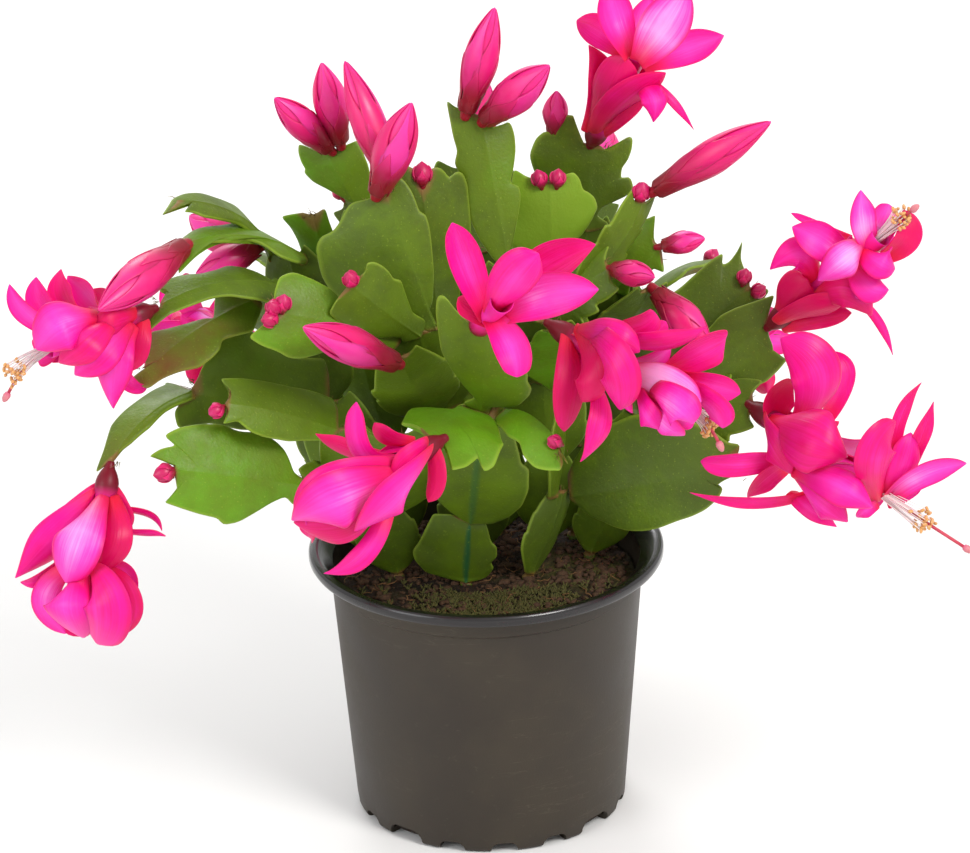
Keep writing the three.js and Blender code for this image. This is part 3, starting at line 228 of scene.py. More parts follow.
# The petals of the blooms that face the viewer, in millimetres as they lie: root, middle and tip, width,
# the side that faces the viewer (1 the outer, -1 the inner), how slim the tip is, and how light the petal is,
# which paints in the light and shade that falls on it.
FINE_PETALS = {
  "bloom_left": [
    ((-130.6, -62, 199.9), (-143.1, -62, 205.4), (-149.4, -60, 215.7), 8.5, -1, 0.8, 0.7),
    ((-129.8, -60, 200.8), (-139, -56, 206.7), (-141.4, -52, 214.8), 10.5, -1, 0.9, 0.5),
    ((-125, -58, 202.3), (-133, -50, 206.5), (-133.8, -46, 215), 11, -1, 1.1, 0.35),
    ((-120.4, -55, 202), (-126.2, -46, 205.8), (-132.3, -42, 211), 11, -1, 0.8, 0.7),
    ((-115.3, -50, 200.9), (-120.1, -42, 202.7), (-124.3, -40, 205.5), 7, -1, 0.8, 0.3),
    ((-120.8, -62, 204.5), (-132.3, -78, 209.2), (-140.8, -74, 198.5), 18, 1, 0.5, 0.75),
    ((-117.8, -60, 202.9), (-125.2, -76, 202.7), (-134.2, -72, 193.1), 16, 1, 0.7, 0.35),
    ((-112.4, -56, 200.5), (-120.8, -70, 196.1), (-129.8, -66, 186.3), 15, 1, 0.8, 0.6),
    ((-111.3, -54, 199), (-117.8, -66, 190.9), (-118.2, -62, 172.5), 14, 1, 1, 0.75),
    ((-108.9, -50, 199.4), (-111.8, -56, 191.8), (-117.1, -56, 181.9), 11.5, 1, 0.8, 0.1),
    ((-119.4, -46, 186.2), (-114.4, -42, 173.9), (-108.4, -40, 170.8), 7.5, -1, 0.6, 0.5),
    ((-109.5, -50, 199.4), (-115.7, -64, 203.1), (-122.3, -64, 198.5), 12, 1, 0.6, 0.15),
  ],
  "bloom_low_left": [
    ((-123.1, -52, 144.4), (-131.5, -56, 139.3), (-142.5, -58, 132.2), 9, 1, 1, 0.4),
    ((-123.6, -54, 143.9), (-137.4, -62, 132.1), (-152.6, -64, 118.4), 16, 1, 1.1, 0.6),
    ((-123.7, -58, 144.9), (-130.7, -80, 139), (-135.1, -76, 121.7), 18, 1, 0.45, 1),
    ((-130.3, -58, 128), (-141.8, -64, 119.2), (-151, -64, 117), 7.5, -1, 0.9, 0.45),
    ((-120.8, -58, 144.1), (-118.8, -72, 135.5), (-125.5, -72, 123.2), 12, 1, 0.8, 0.15),
    ((-121, -54, 144.5), (-117.8, -58, 138.4), (-115.9, -58, 131.2), 9, 1, 0.8, 0.3),
    ((-119.4, -54, 137.4), (-108.9, -56, 136.6), (-104.5, -58, 131.3), 3.2, 1, 1.2, 0.4),
    ((-119.6, -56, 130.4), (-109.7, -58, 130.7), (-103.3, -58, 129.5), 3.2, 1, 1.2, 0.4),
    ((-125.7, -68, 124.6), (-115.4, -66, 118.4), (-122.7, -64, 98.3), 6, -1, 0.8, 0.4),
    ((-134.2, -68, 123.4), (-142.9, -68, 112.2), (-136.9, -66, 98.9), 10, 1, 0.6, 0.85),
    ((-130.3, -68, 123.3), (-134.6, -86, 118.2), (-130.3, -76, 102), 19, 1, 0.5, 0.7),
    ((-127.7, -68, 123.2), (-124.7, -90, 119.8), (-126.1, -77, 100.2), 23, 1, 0.45, 0.45),
    ((-126.6, -66, 122.3), (-118.5, -78, 115.5), (-124.4, -72, 100), 16, 1, 0.6, 0.2),
    ((-130.2, -66, 120.9), (-131.5, -58, 104.7), (-130.1, -62, 96.1), 20, -1, 0.5, 0.3),
  ],
  "bloom_front": [
    ((-18.4, -78, 163.3), (-16.7, -84, 155.8), (-19.2, -86, 147), 7, 1, 0.4, 0.1),
    ((-23.5, -82, 165.5), (-31.9, -86, 169.5), (-35.6, -84, 174.3), 7.5, 1, 0.5, 0.2),
    ((-24.2, -86, 161.4), (-39.4, -96, 168.5), (-40.8, -94, 185.9), 8.5, 1, 0.3, 0.55),
    ((-29.3, -84, 160.3), (-44.3, -78, 162.2), (-54.8, -76, 167.5), 7, 1, 1.1, 0.2),
    ((-24.2, -92, 161.6), (-46.9, -108, 165.7), (-61.3, -104, 151.5), 13, 1, 0.7, 0.5),
    ((-26.1, -94, 161.1), (-46.9, -116, 161.7), (-62.3, -104, 149.8), 21, 1, 1.15, 0.8),
    ((-28.1, -92, 157.5), (-45.8, -108, 150.5), (-61.8, -103, 148.7), 17, 1, 1.15, 0.3),
    ((-26.9, -88, 156.4), (-46.1, -92, 148.9), (-61.8, -102, 148.9), 20, -1, 1.1, 0.3),
    ((-17.7, -86, 165), (-27.5, -114, 162), (-42.5, -108, 147.3), 17, 1, 0.9, 0.65),
    ((-19, -84, 165.9), (-22.7, -98, 166.9), (-30.5, -98, 160.2), 12, 1, 0.7, 0.3),
    ((-31.8, -92, 149.6), (-40, -102, 136.6), (-53.1, -98, 128.4), 7.5, 1, 1.3, 0.5),
  ],
  "bloom_centre": [
    ((2, -72, 204.8), (-4.3, -78, 225.7), (-8.3, -82, 241.5), 11.5, -1, 0.5, 0.55),
    ((6.2, -74, 209), (20.6, -80, 226.6), (36.6, -84, 233.8), 14, -1, 0.8, 0.35),
    ((4.2, -74, 205.6), (20.3, -88, 218.3), (37.1, -94, 222.6), 15.5, -1, 0.7, 0.8),
    ((2.9, -74, 206), (9.3, -86, 200.8), (11, -90, 191.8), 12, -1, 0.4, 0.6),
    ((2.9, -70, 203.3), (-3.3, -74, 209.9), (-7, -76, 213.8), 8.5, -1, 0.6, 0.1),
    ((2.6, -78, 207.6), (9.7, -98, 227.6), (18.5, -102, 238.3), 15, 1, 0.45, 0.6),
  ],
  "bloom_centre_right": [
    ((31.8, -52, 190.1), (31.6, -66, 177.5), (29.1, -68, 161), 12, 1, 0.5, 0.15),
    ((33, -54, 190.6), (36.2, -76, 186.1), (34.8, -76, 174.7), 14, 1, 0.45, 0.1),
    ((34.9, -56, 190.6), (43, -86, 191.8), (46.6, -84, 175), 18, 1, 0.5, 0.4),
    ((33.6, -56, 190.7), (43.2, -80, 198.9), (53.3, -80, 193.1), 13, 1, 0.5, 0.4),
    ((34.9, -56, 190.6), (57.2, -78, 194.6), (74.5, -82, 202.3), 12, 1, 1.1, 0.45),
    ((38.2, -54, 189.1), (52.8, -60, 193.9), (58.7, -58, 198.1), 12, -1, 0.5, 0.35),
    ((39.8, -52, 188.9), (55.9, -52, 188.9), (62.8, -50, 191.3), 9, -1, 0.6, 0.5),
    ((38.5, -60, 179.7), (41.3, -80, 170.4), (33.8, -80, 155.6), 10, 1, 1.2, 0.35),
    ((48.7, -64, 183.2), (56.2, -68, 184.7), (63.7, -66, 189.2), 9, -1, 0.7, 1),
    ((48.5, -68, 182.8), (60, -84, 184.4), (72.5, -88, 178.9), 12, 1, 0.45, 1.3),
    ((59.3, -72, 182.8), (73.1, -76, 191.4), (81, -72, 194), 15, -1, 0.4, 0.4),
    ((66.2, -74, 182.1), (77.2, -76, 179.2), (85.6, -74, 175.7), 10.5, -1, 0.9, 0.55),
    ((66.1, -76, 179.5), (75.7, -88, 176.7), (79.1, -88, 169.7), 13, 1, 0.6, 0.6),
    ((54, -74, 178.9), (63.2, -98, 182.6), (69.2, -98, 175.6), 14, 1, 0.4, 0.8),
    ((51.9, -72, 178.1), (54.4, -88, 175.2), (58.8, -88, 169.9), 10, 1, 0.5, 0.6),
    ((55, -74, 176.1), (59.7, -90, 172.8), (67.1, -88, 167.6), 9, 1, 0.6, 0.9),
    ((48.6, -66, 178.1), (48.2, -76, 175.4), (51, -76, 170.5), 5.5, 1, 1, 0.6),
  ],
  "bloom_right_high": [
    ((97.4, 2, 171.2), (102.2, -6, 183.6), (107.4, -8, 189.9), 15, 1, 0.45, 0),
    ((98, 0, 170.6), (107.9, -10, 179.4), (119, -12, 182.7), 13, 1, 0.5, 0.1),
    ((98.8, 2, 169.4), (110.7, -4, 174.4), (122.3, -4, 175.9), 8.5, 1, 0.6, 0.3),
    ((99.7, 6, 171.7), (104.3, 6, 180.9), (105.6, 6, 189.4), 10, 1, 0.6, 0.05),
    ((107.3, -4, 179.1), (119, -16, 189.3), (128.1, -14, 178.7), 13, 1, 0.8, 0.3),
    ((121.9, -8, 184.3), (130.4, -10, 175.2), (135.7, -8, 161.8), 3.4, 1, 1.2, 0.4),
    ((110.3, -4, 186.9), (105.1, -12, 200.7), (94.7, -10, 194.2), 12, 1, 0.9, 0.6),
    ((121.3, -6, 193.8), (111.5, -14, 204.9), (102, -10, 209.2), 13, -1, 0.9, 0.75),
    ((122.1, -4, 202.1), (112.5, 0, 204.7), (102.5, 4, 208.7), 3.2, -1, 0.4, 0.4),
    ((125.5, -12, 203.1), (118.9, -26, 203.1), (109.7, -22, 194.7), 13, 1, 0.7, 1),
    ((127.4, -12, 201.6), (124.8, -16, 213), (124.3, -12, 222.3), 10, -1, 0.9, 1),
    ((128.1, -12, 201.6), (131.5, -10, 209.2), (134, -6, 214.9), 11, -1, 0.5, 0.9),
    ((130.6, -14, 199.5), (139, -18, 207.2), (138, -14, 215.8), 10, -1, 0.6, 0.05),
    ((125.3, -14, 202.4), (129.6, -26, 202.8), (134.9, -22, 198.3), 13, 1, 0.6, 0.5),
    ((122.2, -12, 197.5), (126.7, -22, 193.2), (133.1, -20, 190.2), 12, 1, 0.7, 0.6),
    ((121.1, -10, 194.6), (124.6, -16, 189.1), (126.7, -14, 184.4), 8.5, 1, 0.7, 0.9),
  ],
  "bloom_right_low": [
    ((104.7, -32, 142.9), (112.2, -40, 165.7), (100.2, -34, 178), 18.5, 1, 0.45, 0.5),
    ((112, -30, 144), (121.3, -28, 160.4), (116.4, -22, 168), 8.5, -1, 0.9, 0.5),
    ((99.1, -26, 143.3), (99.7, -26, 153), (105.3, -22, 156.9), 12.5, -1, 0.5, 0),
    ((96.2, -30, 147.3), (106.1, -60, 153.5), (120.5, -62, 147.3), 23, 1, 0.8, 0.35),
    ((95.7, -28, 147.2), (96.6, -46, 145.6), (103, -48, 135.6), 13, 1, 0.6, 0.3),
    ((101.9, -34, 136), (87, -42, 137), (73.7, -40, 137.5), 9.5, -1, 0.45, 0.45),
    ((102.9, -34, 133.1), (95.6, -40, 130.9), (89.2, -38, 123.3), 8.5, -1, 0.9, 0.3),
    ((108.2, -44, 126.6), (90.7, -46, 124.7), (69.9, -42, 127.3), 4.6, -1, 1.2, 0.4),
    ((103.4, -42, 133.7), (111.1, -64, 132.5), (120.5, -64, 125.2), 13.5, 1, 0.9, 0.45),
    ((103.5, -40, 126), (108.8, -50, 124.2), (117.7, -54, 119), 7, 1, 1, 0.5),
    ((103.3, -44, 136), (116.1, -70, 141.1), (128.1, -70, 132.7), 13, 1, 0.8, 0.6),
    ((111.5, -38, 145.3), (121.7, -42, 142.5), (129.4, -44, 145.3), 9, -1, 0.6, 1.3),
    ((115.2, -42, 132.7), (121.3, -48, 136.6), (126.4, -50, 132.4), 10, -1, 0.6, 1.5),
    ((108.9, -32, 145.7), (115.6, -30, 144.3), (120.1, -28, 145.5), 4.2, -1, 0.8, 0.1),
    ((131.3, -58, 129.7), (128.3, -74, 151.7), (135.6, -66, 161.3), 15.5, 1, 0.45, 0.35),
    ((133.6, -58, 130), (139, -62, 144.4), (141.2, -58, 153.9), 11, 1, 0.6, 0.5),
    ((135.6, -56, 141.9), (137.6, -54, 157.2), (145.4, -48, 167.2), 6, -1, 1.4, 0.3),
    ((137, -56, 131.2), (143.8, -58, 151), (148.8, -54, 162.9), 6.5, -1, 1.4, 0.3),
    ((133.3, -58, 130.4), (144.9, -62, 140.4), (159.5, -58, 142.5), 10.5, -1, 0.8, 0.9),
    ((133.3, -58, 129.7), (140.9, -56, 132.9), (143.6, -54, 137.6), 7.5, -1, 0.9, 0.7),
    ((130.7, -58, 129.4), (126.7, -60, 127.2), (123.9, -58, 124.2), 5.5, -1, 1, 0.6),
  ],
  "bloom_top": [
    ((37.9, 20, 234.7), (43.1, 10, 254.2), (38, 6, 270.5), 11, 1, 1, 0.2),
    ((38.8, 18, 235.4), (44.5, 2, 255.9), (50.1, -2, 268.9), 15, 1, 0.4, 0.25),
    ((40.1, 18, 235.3), (49.7, 2, 252.3), (62.9, -4, 263.8), 15.5, 1, 0.7, 0.3),
    ((40.9, 20, 234.6), (48.9, 10, 246.4), (55.5, 8, 253.9), 9.5, 1, 0.5, 0.15),
    ((53.7, 4, 257.4), (58.5, -8, 256.7), (58.4, -8, 248.1), 9, 1, 1, 0.45),
    ((56.9, 2, 259.4), (64.5, -4, 254.5), (71.9, -4, 243.6), 3.2, 1, 1.2, 0.4),
    ((50.5, 2, 267.8), (41.9, 4, 274.9), (34.2, 8, 278.2), 11, -1, 0.8, 0.4),
    ((51.4, -2, 268.5), (46.9, -4, 283.7), (44.5, -2, 293.2), 12.5, -1, 0.8, 0.75),
    ((53.6, -2, 266.8), (62.3, -8, 281.3), (69.7, -8, 294), 17, -1, 0.7, 1.1),
    ((55.3, 0, 265), (70.1, 2, 269.4), (82.2, 4, 273.3), 11.5, -1, 0.9, 0.7),
    ((53.8, 4, 266.4), (56.5, 12, 274.6), (58.3, 16, 283.5), 12, -1, 0.8, 0.8),
  ],
}

# How light each showing segment is, from 0 dark to 1 fresh green and 1.3 pale: partly its own green and
# partly painted light and shade, raised on segments that lie in shadow. The rest are drawn at random.
SEGMENT_TONES_AND_LIGHT = {
    "f1": 0.34, "f2": 0.42, "f3": 0.55, "f4": 0.92, "f5": 0.86, "g1": 0.3, "g2": 0.5, "g3": 0.85, "g4": 0.3,
    "r3": 0.5, "r5": 0.36, "r7": 0.24, "l3": 0.74, "l5": 0.62, "l7": 0.5, "l9": 0.45, "n2": 0.45,
    "m5": 0.42, "m6": 0.66, "m8": 0.46, "m10": 0.62, "t4": 0.42, "t5": 0.46, "t7": 0.36, "t8": 0.74,
    "t9": 0.5, "d5": 0.52, "d7": 0.5, "d9": 1.3, "d10": 0.5, "e4": 0.4, "e6": 0.8, "k4": 0.62, "k5": 0.9,
}
# How red a segment has turned in strong light, from 0 to 1.
BLUSHES = {"m10": 0.5, "l9": 0.25, "m8": 0.12, "m5": 0.2, "r7": 0.1, "g2": 0.12}
# How dark and raised the midrib of an old segment is, from 0 to 1.
RIBBED = {"f1": 1.0, "f2": 0.7, "g4": 0.25, "l3": 0.2, "t4": 0.2}

# The outlines of the segments that show, as traced: for each, its two edges from neck to tip. The numbers
# go in pairs, along and across, in hundredths of its length and of half its width. The first edge is on the
# segment's sideways side.
OUTLINES = {
  "f1": (
    (0,37, 3,96, 21,123, 33,129, 47,116, 73,102, 97,86, 101,47, 96,24),
    (2,32, 7,50, 21,63, 31,55, 41,68, 55,66, 63,52, 81,43, 92,35, 96,11),
  ),
  "f2": (
    (5,15, 14,46, 23,70, 38,85, 55,87, 72,81, 87,68, 98,47, 101,17),
    (4,15, 2,49, 8,77, 19,98, 36,107, 52,103, 57,86, 65,81, 77,70, 88,60, 98,43, 102,21),
  ),
  "f3": (
    (18,13, 32,40, 53,68, 67,89, 86,98, 103,105, 115,105, 118,91, 112,76, 106,59, 100,38, 97,18),
    (13,19, 13,45, 16,71, 29,93, 37,96, 43,86, 54,87, 67,73, 84,63, 103,52, 108,33, 101,17),
  ),
  "f4": (
    (-10,78, 29,136, 68,180, 96,180, 108,160, 96,133, 117,115, 130,87, 117,79, 103,74, 91,41, 94,16),
    (15,-28, 10,0, 10,40, 10,80, 6,124, 46,119, 71,109, 78,69, 88,29),
  ),
  "f5": (
    (10,0, 10,0, 20,21, 46,6, 64,4, 79,0, 97,-7, 111,-9, 117,-14, 110,-15),
    (-3,39, 25,77, 55,96, 73,94, 87,112, 100,103, 109,80, 117,46, 112,23),
  ),
  "g4": (
    (5,36, 12,60, 22,86, 33,100, 50,110, 66,104, 81,83, 91,56, 96,34, 102,27, 99,11),
    (2,2, 7,20, 12,41, 17,49, 22,61, 30,72, 40,77, 48,77, 58,72, 66,70, 74,64, 80,55, 86,42, 88,30, 82,32,
     89,22, 95,20, 100,13),
  ),
  "m5": (
    (-10,-9, 10,13, 21,7, 38,20, 49,19, 68,40, 82,47, 91,36, 96,42, 89,6, 95,2),
    (8,12, 10,80, 26,68, 32,115, 60,71, 74,64, 88,42, 99,13, 105,-21, 112,-59, 102,-20),
  ),
  "m6": (
    (37,76, 43,14, 55,-3, 69,24, 82,22, 90,17, 99,46, 110,84, 116,109, 110,54, 102,11),
    (13,73, 15,160, 31,160, 55,116, 76,83, 88,62, 101,28),
  ),
  "m8": (
    (36,63, 47,54, 57,41, 69,38, 83,39, 97,33, 105,40, 115,51, 108,19, 103,7),
    (16,17, 21,58, 29,78, 38,85, 51,63, 64,54, 76,69, 84,70, 94,46, 88,39, 96,14),
  ),
  "m10": (
    (45,65, 51,88, 59,94, 69,91, 81,64, 93,45, 104,36, 105,16, 105,-29, 102,-4),
    (39,1, 42,23, 55,45, 67,72, 75,99, 86,90, 93,82, 92,41, 93,20, 98,24),
  ),
  "l9": (
    (5,16, 18,21, 40,17, 60,26, 80,15, 88,3, 96,2),
    (-10,80, -10,120, 5,103, 29,94, 54,90, 73,83, 86,61, 94,48, 111,30, 101,10),
  ),
  "l7": (
    (9,10, 21,32, 42,55, 62,61, 83,54, 92,63, 103,71, 107,40, 103,14),
    (3,66, 7,99, 27,96, 38,105, 49,116, 60,136, 70,145, 82,137, 85,112, 86,92, 92,60, 95,29),
  ),
  "l5": (
    (7,15, 18,36, 29,47, 47,64, 68,67, 79,61, 89,40, 100,54, 96,17),
    (1,64, 4,97, 18,96, 46,83, 67,86, 83,83, 102,69, 94,46, 93,22),
  ),
  "l3": (
    (16,24, 28,43, 39,67, 49,88, 60,98, 64,86, 78,82, 89,76, 103,67, 94,50, 96,25, 98,6),
    (12,25, 16,48, 20,66, 28,83, 39,95, 55,91, 66,101, 83,96, 97,84, 107,64, 98,47, 108,38, 116,18, 105,23,
     97,24),
  ),
  "t8": (
    (53,31, 62,73, 76,98, 86,102, 95,91, 105,85, 115,69, 108,38, 104,16),
    (52,52, 64,81, 78,97, 90,107, 100,88, 103,50, 103,18),
  ),
  "t4": (
    (11,50, 19,79, 31,118, 44,141, 57,145, 69,140, 78,136, 84,124, 85,102, 88,90, 92,80, 97,68, 100,57, 99,39,
     99,19),
    (9,-11, 21,11, 39,28, 57,40, 68,46, 78,48, 80,39, 86,40, 94,39, 101,35, 107,28, 104,18, 100,7),
  ),
  "t5": (
    (17,33, 35,65, 53,85, 70,98, 83,100, 93,97, 97,64, 98,35),
    (28,39, 45,63, 62,89, 70,80, 79,88, 87,89, 96,84, 101,70, 96,51, 97,29),
  ),
  "t7": (
    (15,31, 31,65, 51,78, 71,73, 89,56, 101,50, 110,42, 110,19, 106,5),
    (5,41, 16,71, 30,85, 44,103, 58,125, 73,134, 87,139, 97,129, 100,107, 95,86, 101,78, 106,58, 104,28),
  ),
  "d5": (
    (10,42, 22,65, 36,81, 52,87, 65,85, 73,94, 80,79, 89,83, 99,82, 112,81, 106,59, 104,28),
    (9,8, 21,29, 35,54, 45,68, 51,68, 54,45, 63,64, 73,79, 82,84, 89,81, 92,73, 89,53, 86,39, 94,22),
  ),
  "d9": (
    (2,50, 7,86, 22,100, 41,96, 61,93, 81,89, 98,93, 112,86, 104,58, 100,25),
    (20,45, 31,74, 49,97, 64,112, 76,105, 85,88, 87,77, 101,70, 110,56, 108,37, 100,18),
  ),
  "e4": (
    (19,28, 35,53, 45,81, 65,99, 83,108, 100,98, 111,80, 106,66, 118,59, 130,48, 130,38, 130,32, 117,35,
     104,27, 101,13),
    (18,15, 30,28, 36,49, 43,69, 52,79, 65,71, 61,55, 74,56, 83,66, 95,72, 108,73, 109,62, 101,52, 93,44,
     91,32, 99,16),
  ),
  "e6": (
    (1,55, 27,93, 56,110, 85,114, 104,96, 123,82, 109,66, 99,55, 97,27),
    (24,23, 52,36, 73,32, 79,62, 89,31),
  ),
  "k4": (
    (18,-4, 32,11, 42,28, 59,55, 72,80, 86,91, 88,81, 98,82, 110,77, 119,65, 113,47, 103,28),
    (16,45, 37,66, 61,84, 80,89, 93,88, 94,62, 95,28),
  ),
  "k5": (
    (29,8, 53,34, 67,64, 83,66, 92,75, 99,94, 100,58, 100,26),
    (32,26, 58,37, 76,43, 83,41, 92,38, 101,38, 99,18),
  ),
  "r5": (
    (18,53, 36,55, 54,58, 68,65, 83,59, 98,48, 118,34, 110,22, 104,12),
    (12,33, 23,60, 38,74, 51,84, 64,91, 79,87, 93,80, 83,61, 89,43, 91,25, 94,12),
  ),
  "r7": (
    (4,45, 13,78, 30,98, 52,93, 72,94, 89,94, 101,89, 92,71, 99,66, 111,72, 122,83, 109,57, 105,32, 102,9),
    (22,10, 44,16, 68,24, 86,32, 99,38, 110,32, 107,15),
  ),
}

# The pot and its soil in millimetres, as in the part. A notch is (width, height).
POT_HEIGHT = 94
POT_RIM_RADIUS = 60
POT_BAND_RADIUS = 53.8
POT_BAND_FOOT = POT_HEIGHT - 11
POT_FOOT_RADIUS = 46
POT_WALL = 1.6
POT_FLOOR = 2
SOIL_TOP = 84.5
NOTCHES = 16
NOTCHES_IN_SET = 4
FIRST_NOTCH = math.radians(-130)
WIDE_NOTCH = (14, 5)
SMALL_NOTCH = (9, 3.6)
# Of this file alone, in millimetres: the notch cutter's depth, the soil's edge and peak, its scraps' reach.
NOTCH_DEPTH = 14
SOIL_REACH = POT_BAND_RADIUS - 3.6
SOIL_PEAK = 86.5
SCRAPS_REACH = POT_BAND_RADIUS - 5.5
# How many sides and rings they are turned with, tufts the moss has, and leaves a tuft.
POT_SIDES = 128
SOIL_SIDES = 120
SOIL_RINGS = 34
MOSS_TUFTS = 650
MOSS_LEAVES = 5
# Seeds of the random draws that start from a number.
SOIL_SEED = 31
SMALL_BUD_SEED = 77

# The span of a random turn.
ANY_TURN = 6.28


def point(millimetres):
    return Vector(millimetres) * MM


def through(stops, at):
    """A smooth curve through (at, value) stops, read at one place."""
    last = len(stops) - 1
    at = min(max(at, stops[0][0]), stops[last][0])
    i = max(k for k in range(last) if stops[k][0] <= at)
    (a, left), (b, right) = stops[i], stops[i + 1]
    before = stops[max(i - 1, 0)]
    after = stops[min(i + 2, last)]
    span = b - a
    leave = (right - before[1]) / (b - before[0]) * span
    reach = (after[1] - left) / (after[0] - a) * span
    t = (at - a) / span
    return (
        (2 * t**3 - 3 * t**2 + 1) * left
        + (t**3 - 2 * t**2 + t) * leave
        + (3 * t**2 - 2 * t**3) * right
        + (t**3 - t**2) * reach
    )


def smooth(low, high, value):
    t = min(max((value - low) / (high - low), 0), 1)
    return t * t * (3 - 2 * t)


def axes_of(axis):
    """Two directions across an axis."""
    across = axis.cross(UP if abs(axis.z) < 0.9 else Vector((1, 0, 0))).normalized()
    return across, axis.cross(across)


def around(across, up, turn):
    """The direction at a turn about an axis, from the two directions across it."""
    return across * math.cos(turn) + up * math.sin(turn)


def standing(spot, axis):
    """Stands a shape that was made about +Z on a spot, along an axis."""
    return Matrix.Translation(spot) @ UP.rotation_difference(axis).to_matrix().to_4x4()


def in_metres(profile):
    return [(radius * MM, height * MM) for radius, height in profile]


def linked(name, data):
    """A new object in the scene."""
    made = bpy.data.objects.new(name, data)
    bpy.context.scene.collection.objects.link(made)
    return made


# Building blocks of the meshes --------


class Mould:
    """A bmesh whose points carry what the finishes read: how far along and across its shape each one is,
    how light, which on segments and traced petals holds painted light and shade, and how red it is. On a
    segment a blush below 0 darkens the midrib."""

    MARKS = ("along", "across", "tone", "blush")
    FULL = 1500

    def __init__(self):
        self.stashed = []
        self.begin()

    def begin(self):
        self.bm = bmesh.new()
        self.layers = {name: self.bm.verts.layers.float.new(name) for name in self.MARKS}

    def room(self):
        """Sets aside what has been made so far, because operators slow down in a full bmesh."""
        if len(self.bm.verts) < self.FULL:
            return
        mesh = bpy.data.meshes.new("stashed")
        self.bm.to_mesh(mesh)
        self.bm.free()
        self.stashed.append(mesh)
        self.begin()

    def mark(self, vertex, **marks):
        for name, value in marks.items():
            vertex[self.layers[name]] = value

    def blade(self, columns, rows, place):
        """A thin closed blade. place(across, along, side) gives a spot and its marks, with across from -1
        to 1, along from 0 to 1 and side -1 or 1."""
        self.room()
        bm = self.bm
        flat = bmesh.ops.create_grid(bm, x_segments=columns, y_segments=rows, size=1)["verts"]
        faces = list({face for vertex in flat for face in vertex.link_faces})
        raised = bmesh.ops.extrude_face_region(bm, geom=faces)["geom"]
        lifted = [item for item in raised if isinstance(item, bmesh.types.BMVert)]
        bmesh.ops.translate(bm, verts=lifted, vec=UP)
        for vertex in flat + lifted:
            across, along, height = vertex.co
            spot, marks = place(across, (along + 1) / 2, 2 * height - 1)
            vertex.co = spot
            self.mark(vertex, **marks)
        return flat + lifted

    def turned(self, profile, sides, place=None, **marks):
        """A closed solid of revolution about +Z. profile is (radius, height) pairs from axis to axis."""
        self.room()
        bm = self.bm
        ring = [bm.verts.new((radius, 0, height)) for radius, height in profile]
        edges = [bm.edges.new(pair) for pair in zip(ring, ring[1:])]
        bmesh.ops.spin(
            bm, geom=ring + edges, axis=UP, cent=(0, 0, 0), steps=sides, angle=2 * math.pi, use_merge=True
        )
        found = self.island(next(vertex for vertex in ring if vertex.is_valid))
        bmesh.ops.remove_doubles(bm, verts=found, dist=1e-7)
        found = [vertex for vertex in found if vertex.is_valid]
        faces = list({face for vertex in found for face in vertex.link_faces})
        bmesh.ops.recalc_face_normals(bm, faces=faces)
        low = min(height for _, height in profile)
        span = max(height for _, height in profile) - low
        for vertex in found:
            self.mark(vertex, along=(vertex.co.z - low) / span, across=0, **marks)
        if place is not None:
            bmesh.ops.transform(bm, matrix=place, verts=found)
        return found

    def island(self, start):
        """Every vertex that hangs together with one."""
        seen = {start}
        queue = [start]
        while queue:
            for edge in queue.pop().link_edges:
                for vertex in edge.verts:
                    if vertex not in seen:
                        seen.add(vertex)
                        queue.append(vertex)
        return list(seen)

    def strand(self, path, radii, sides, **marks):
        """A closed thin tube along a list of spots, such as a filament, a bristle or a fibre."""
        self.room()
        bm = self.bm
        first = (path[1] - path[0]).normalized()
        across, up = axes_of(first)
        made = bmesh.ops.create_circle(bm, cap_ends=True, segments=sides, radius=1)["verts"]
        rings = [made]
        for _ in path[1:]:
            near = {edge for vertex in rings[-1] for edge in vertex.link_edges}
            edges = [edge for edge in near if self.within(edge, rings[-1])]
            out = bmesh.ops.extrude_edge_only(bm, edges=edges)["geom"]
            rings.append([item for item in out if isinstance(item, bmesh.types.BMVert)])
            self.pair(rings[-2], rings[-1])
        for i, ring in enumerate(rings):
            ahead = (path[min(i + 1, len(path) - 1)] - path[max(i - 1, 0)]).normalized()
            across = (across - ahead * across.dot(ahead)).normalized()
            up = ahead.cross(across)
            for k, vertex in enumerate(ring):
                vertex.co = path[i] + around(across, up, math.tau * k / sides) * radii[i]
                self.mark(vertex, along=i / (len(path) - 1), across=0, **marks)
        bmesh.ops.contextual_create(bm, geom=rings[-1])
        faces = list({face for ring in rings for vertex in ring for face in vertex.link_faces})
        bmesh.ops.recalc_face_normals(bm, faces=faces)

    @staticmethod
    def within(edge, ring):
        return edge.verts[0] in ring and edge.verts[1] in ring

    @staticmethod
    def pair(before, after):
        """Puts the second ring in the order of the first, by the edges that join them."""
        partner = {}
        for vertex in after:
            for edge in vertex.link_edges:
                other = edge.other_vert(vertex)
                if other in before:
                    partner[other] = vertex
        after[:] = [partner[vertex] for vertex in before]

    def piece(self, name, material, levels=0, nodes=()):
        """The finished object. It rides on the root body and stands for the given nodes of the frame."""
        for part in self.stashed:
            self.bm.from_mesh(part)
            bpy.data.meshes.remove(part)
        mesh = bpy.data.meshes.new(name)
        self.bm.to_mesh(mesh)
        self.bm.free()
        mesh.shade_smooth()
        mesh.materials.append(material)
        made = linked(name, mesh)
        if levels:
            finer = made.modifiers.new("Finer", "SUBSURF")
            finer.levels = levels
            finer.render_levels = levels
        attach(made, "root")
        if nodes:
            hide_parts(*nodes)
        return made


# Finishes --------


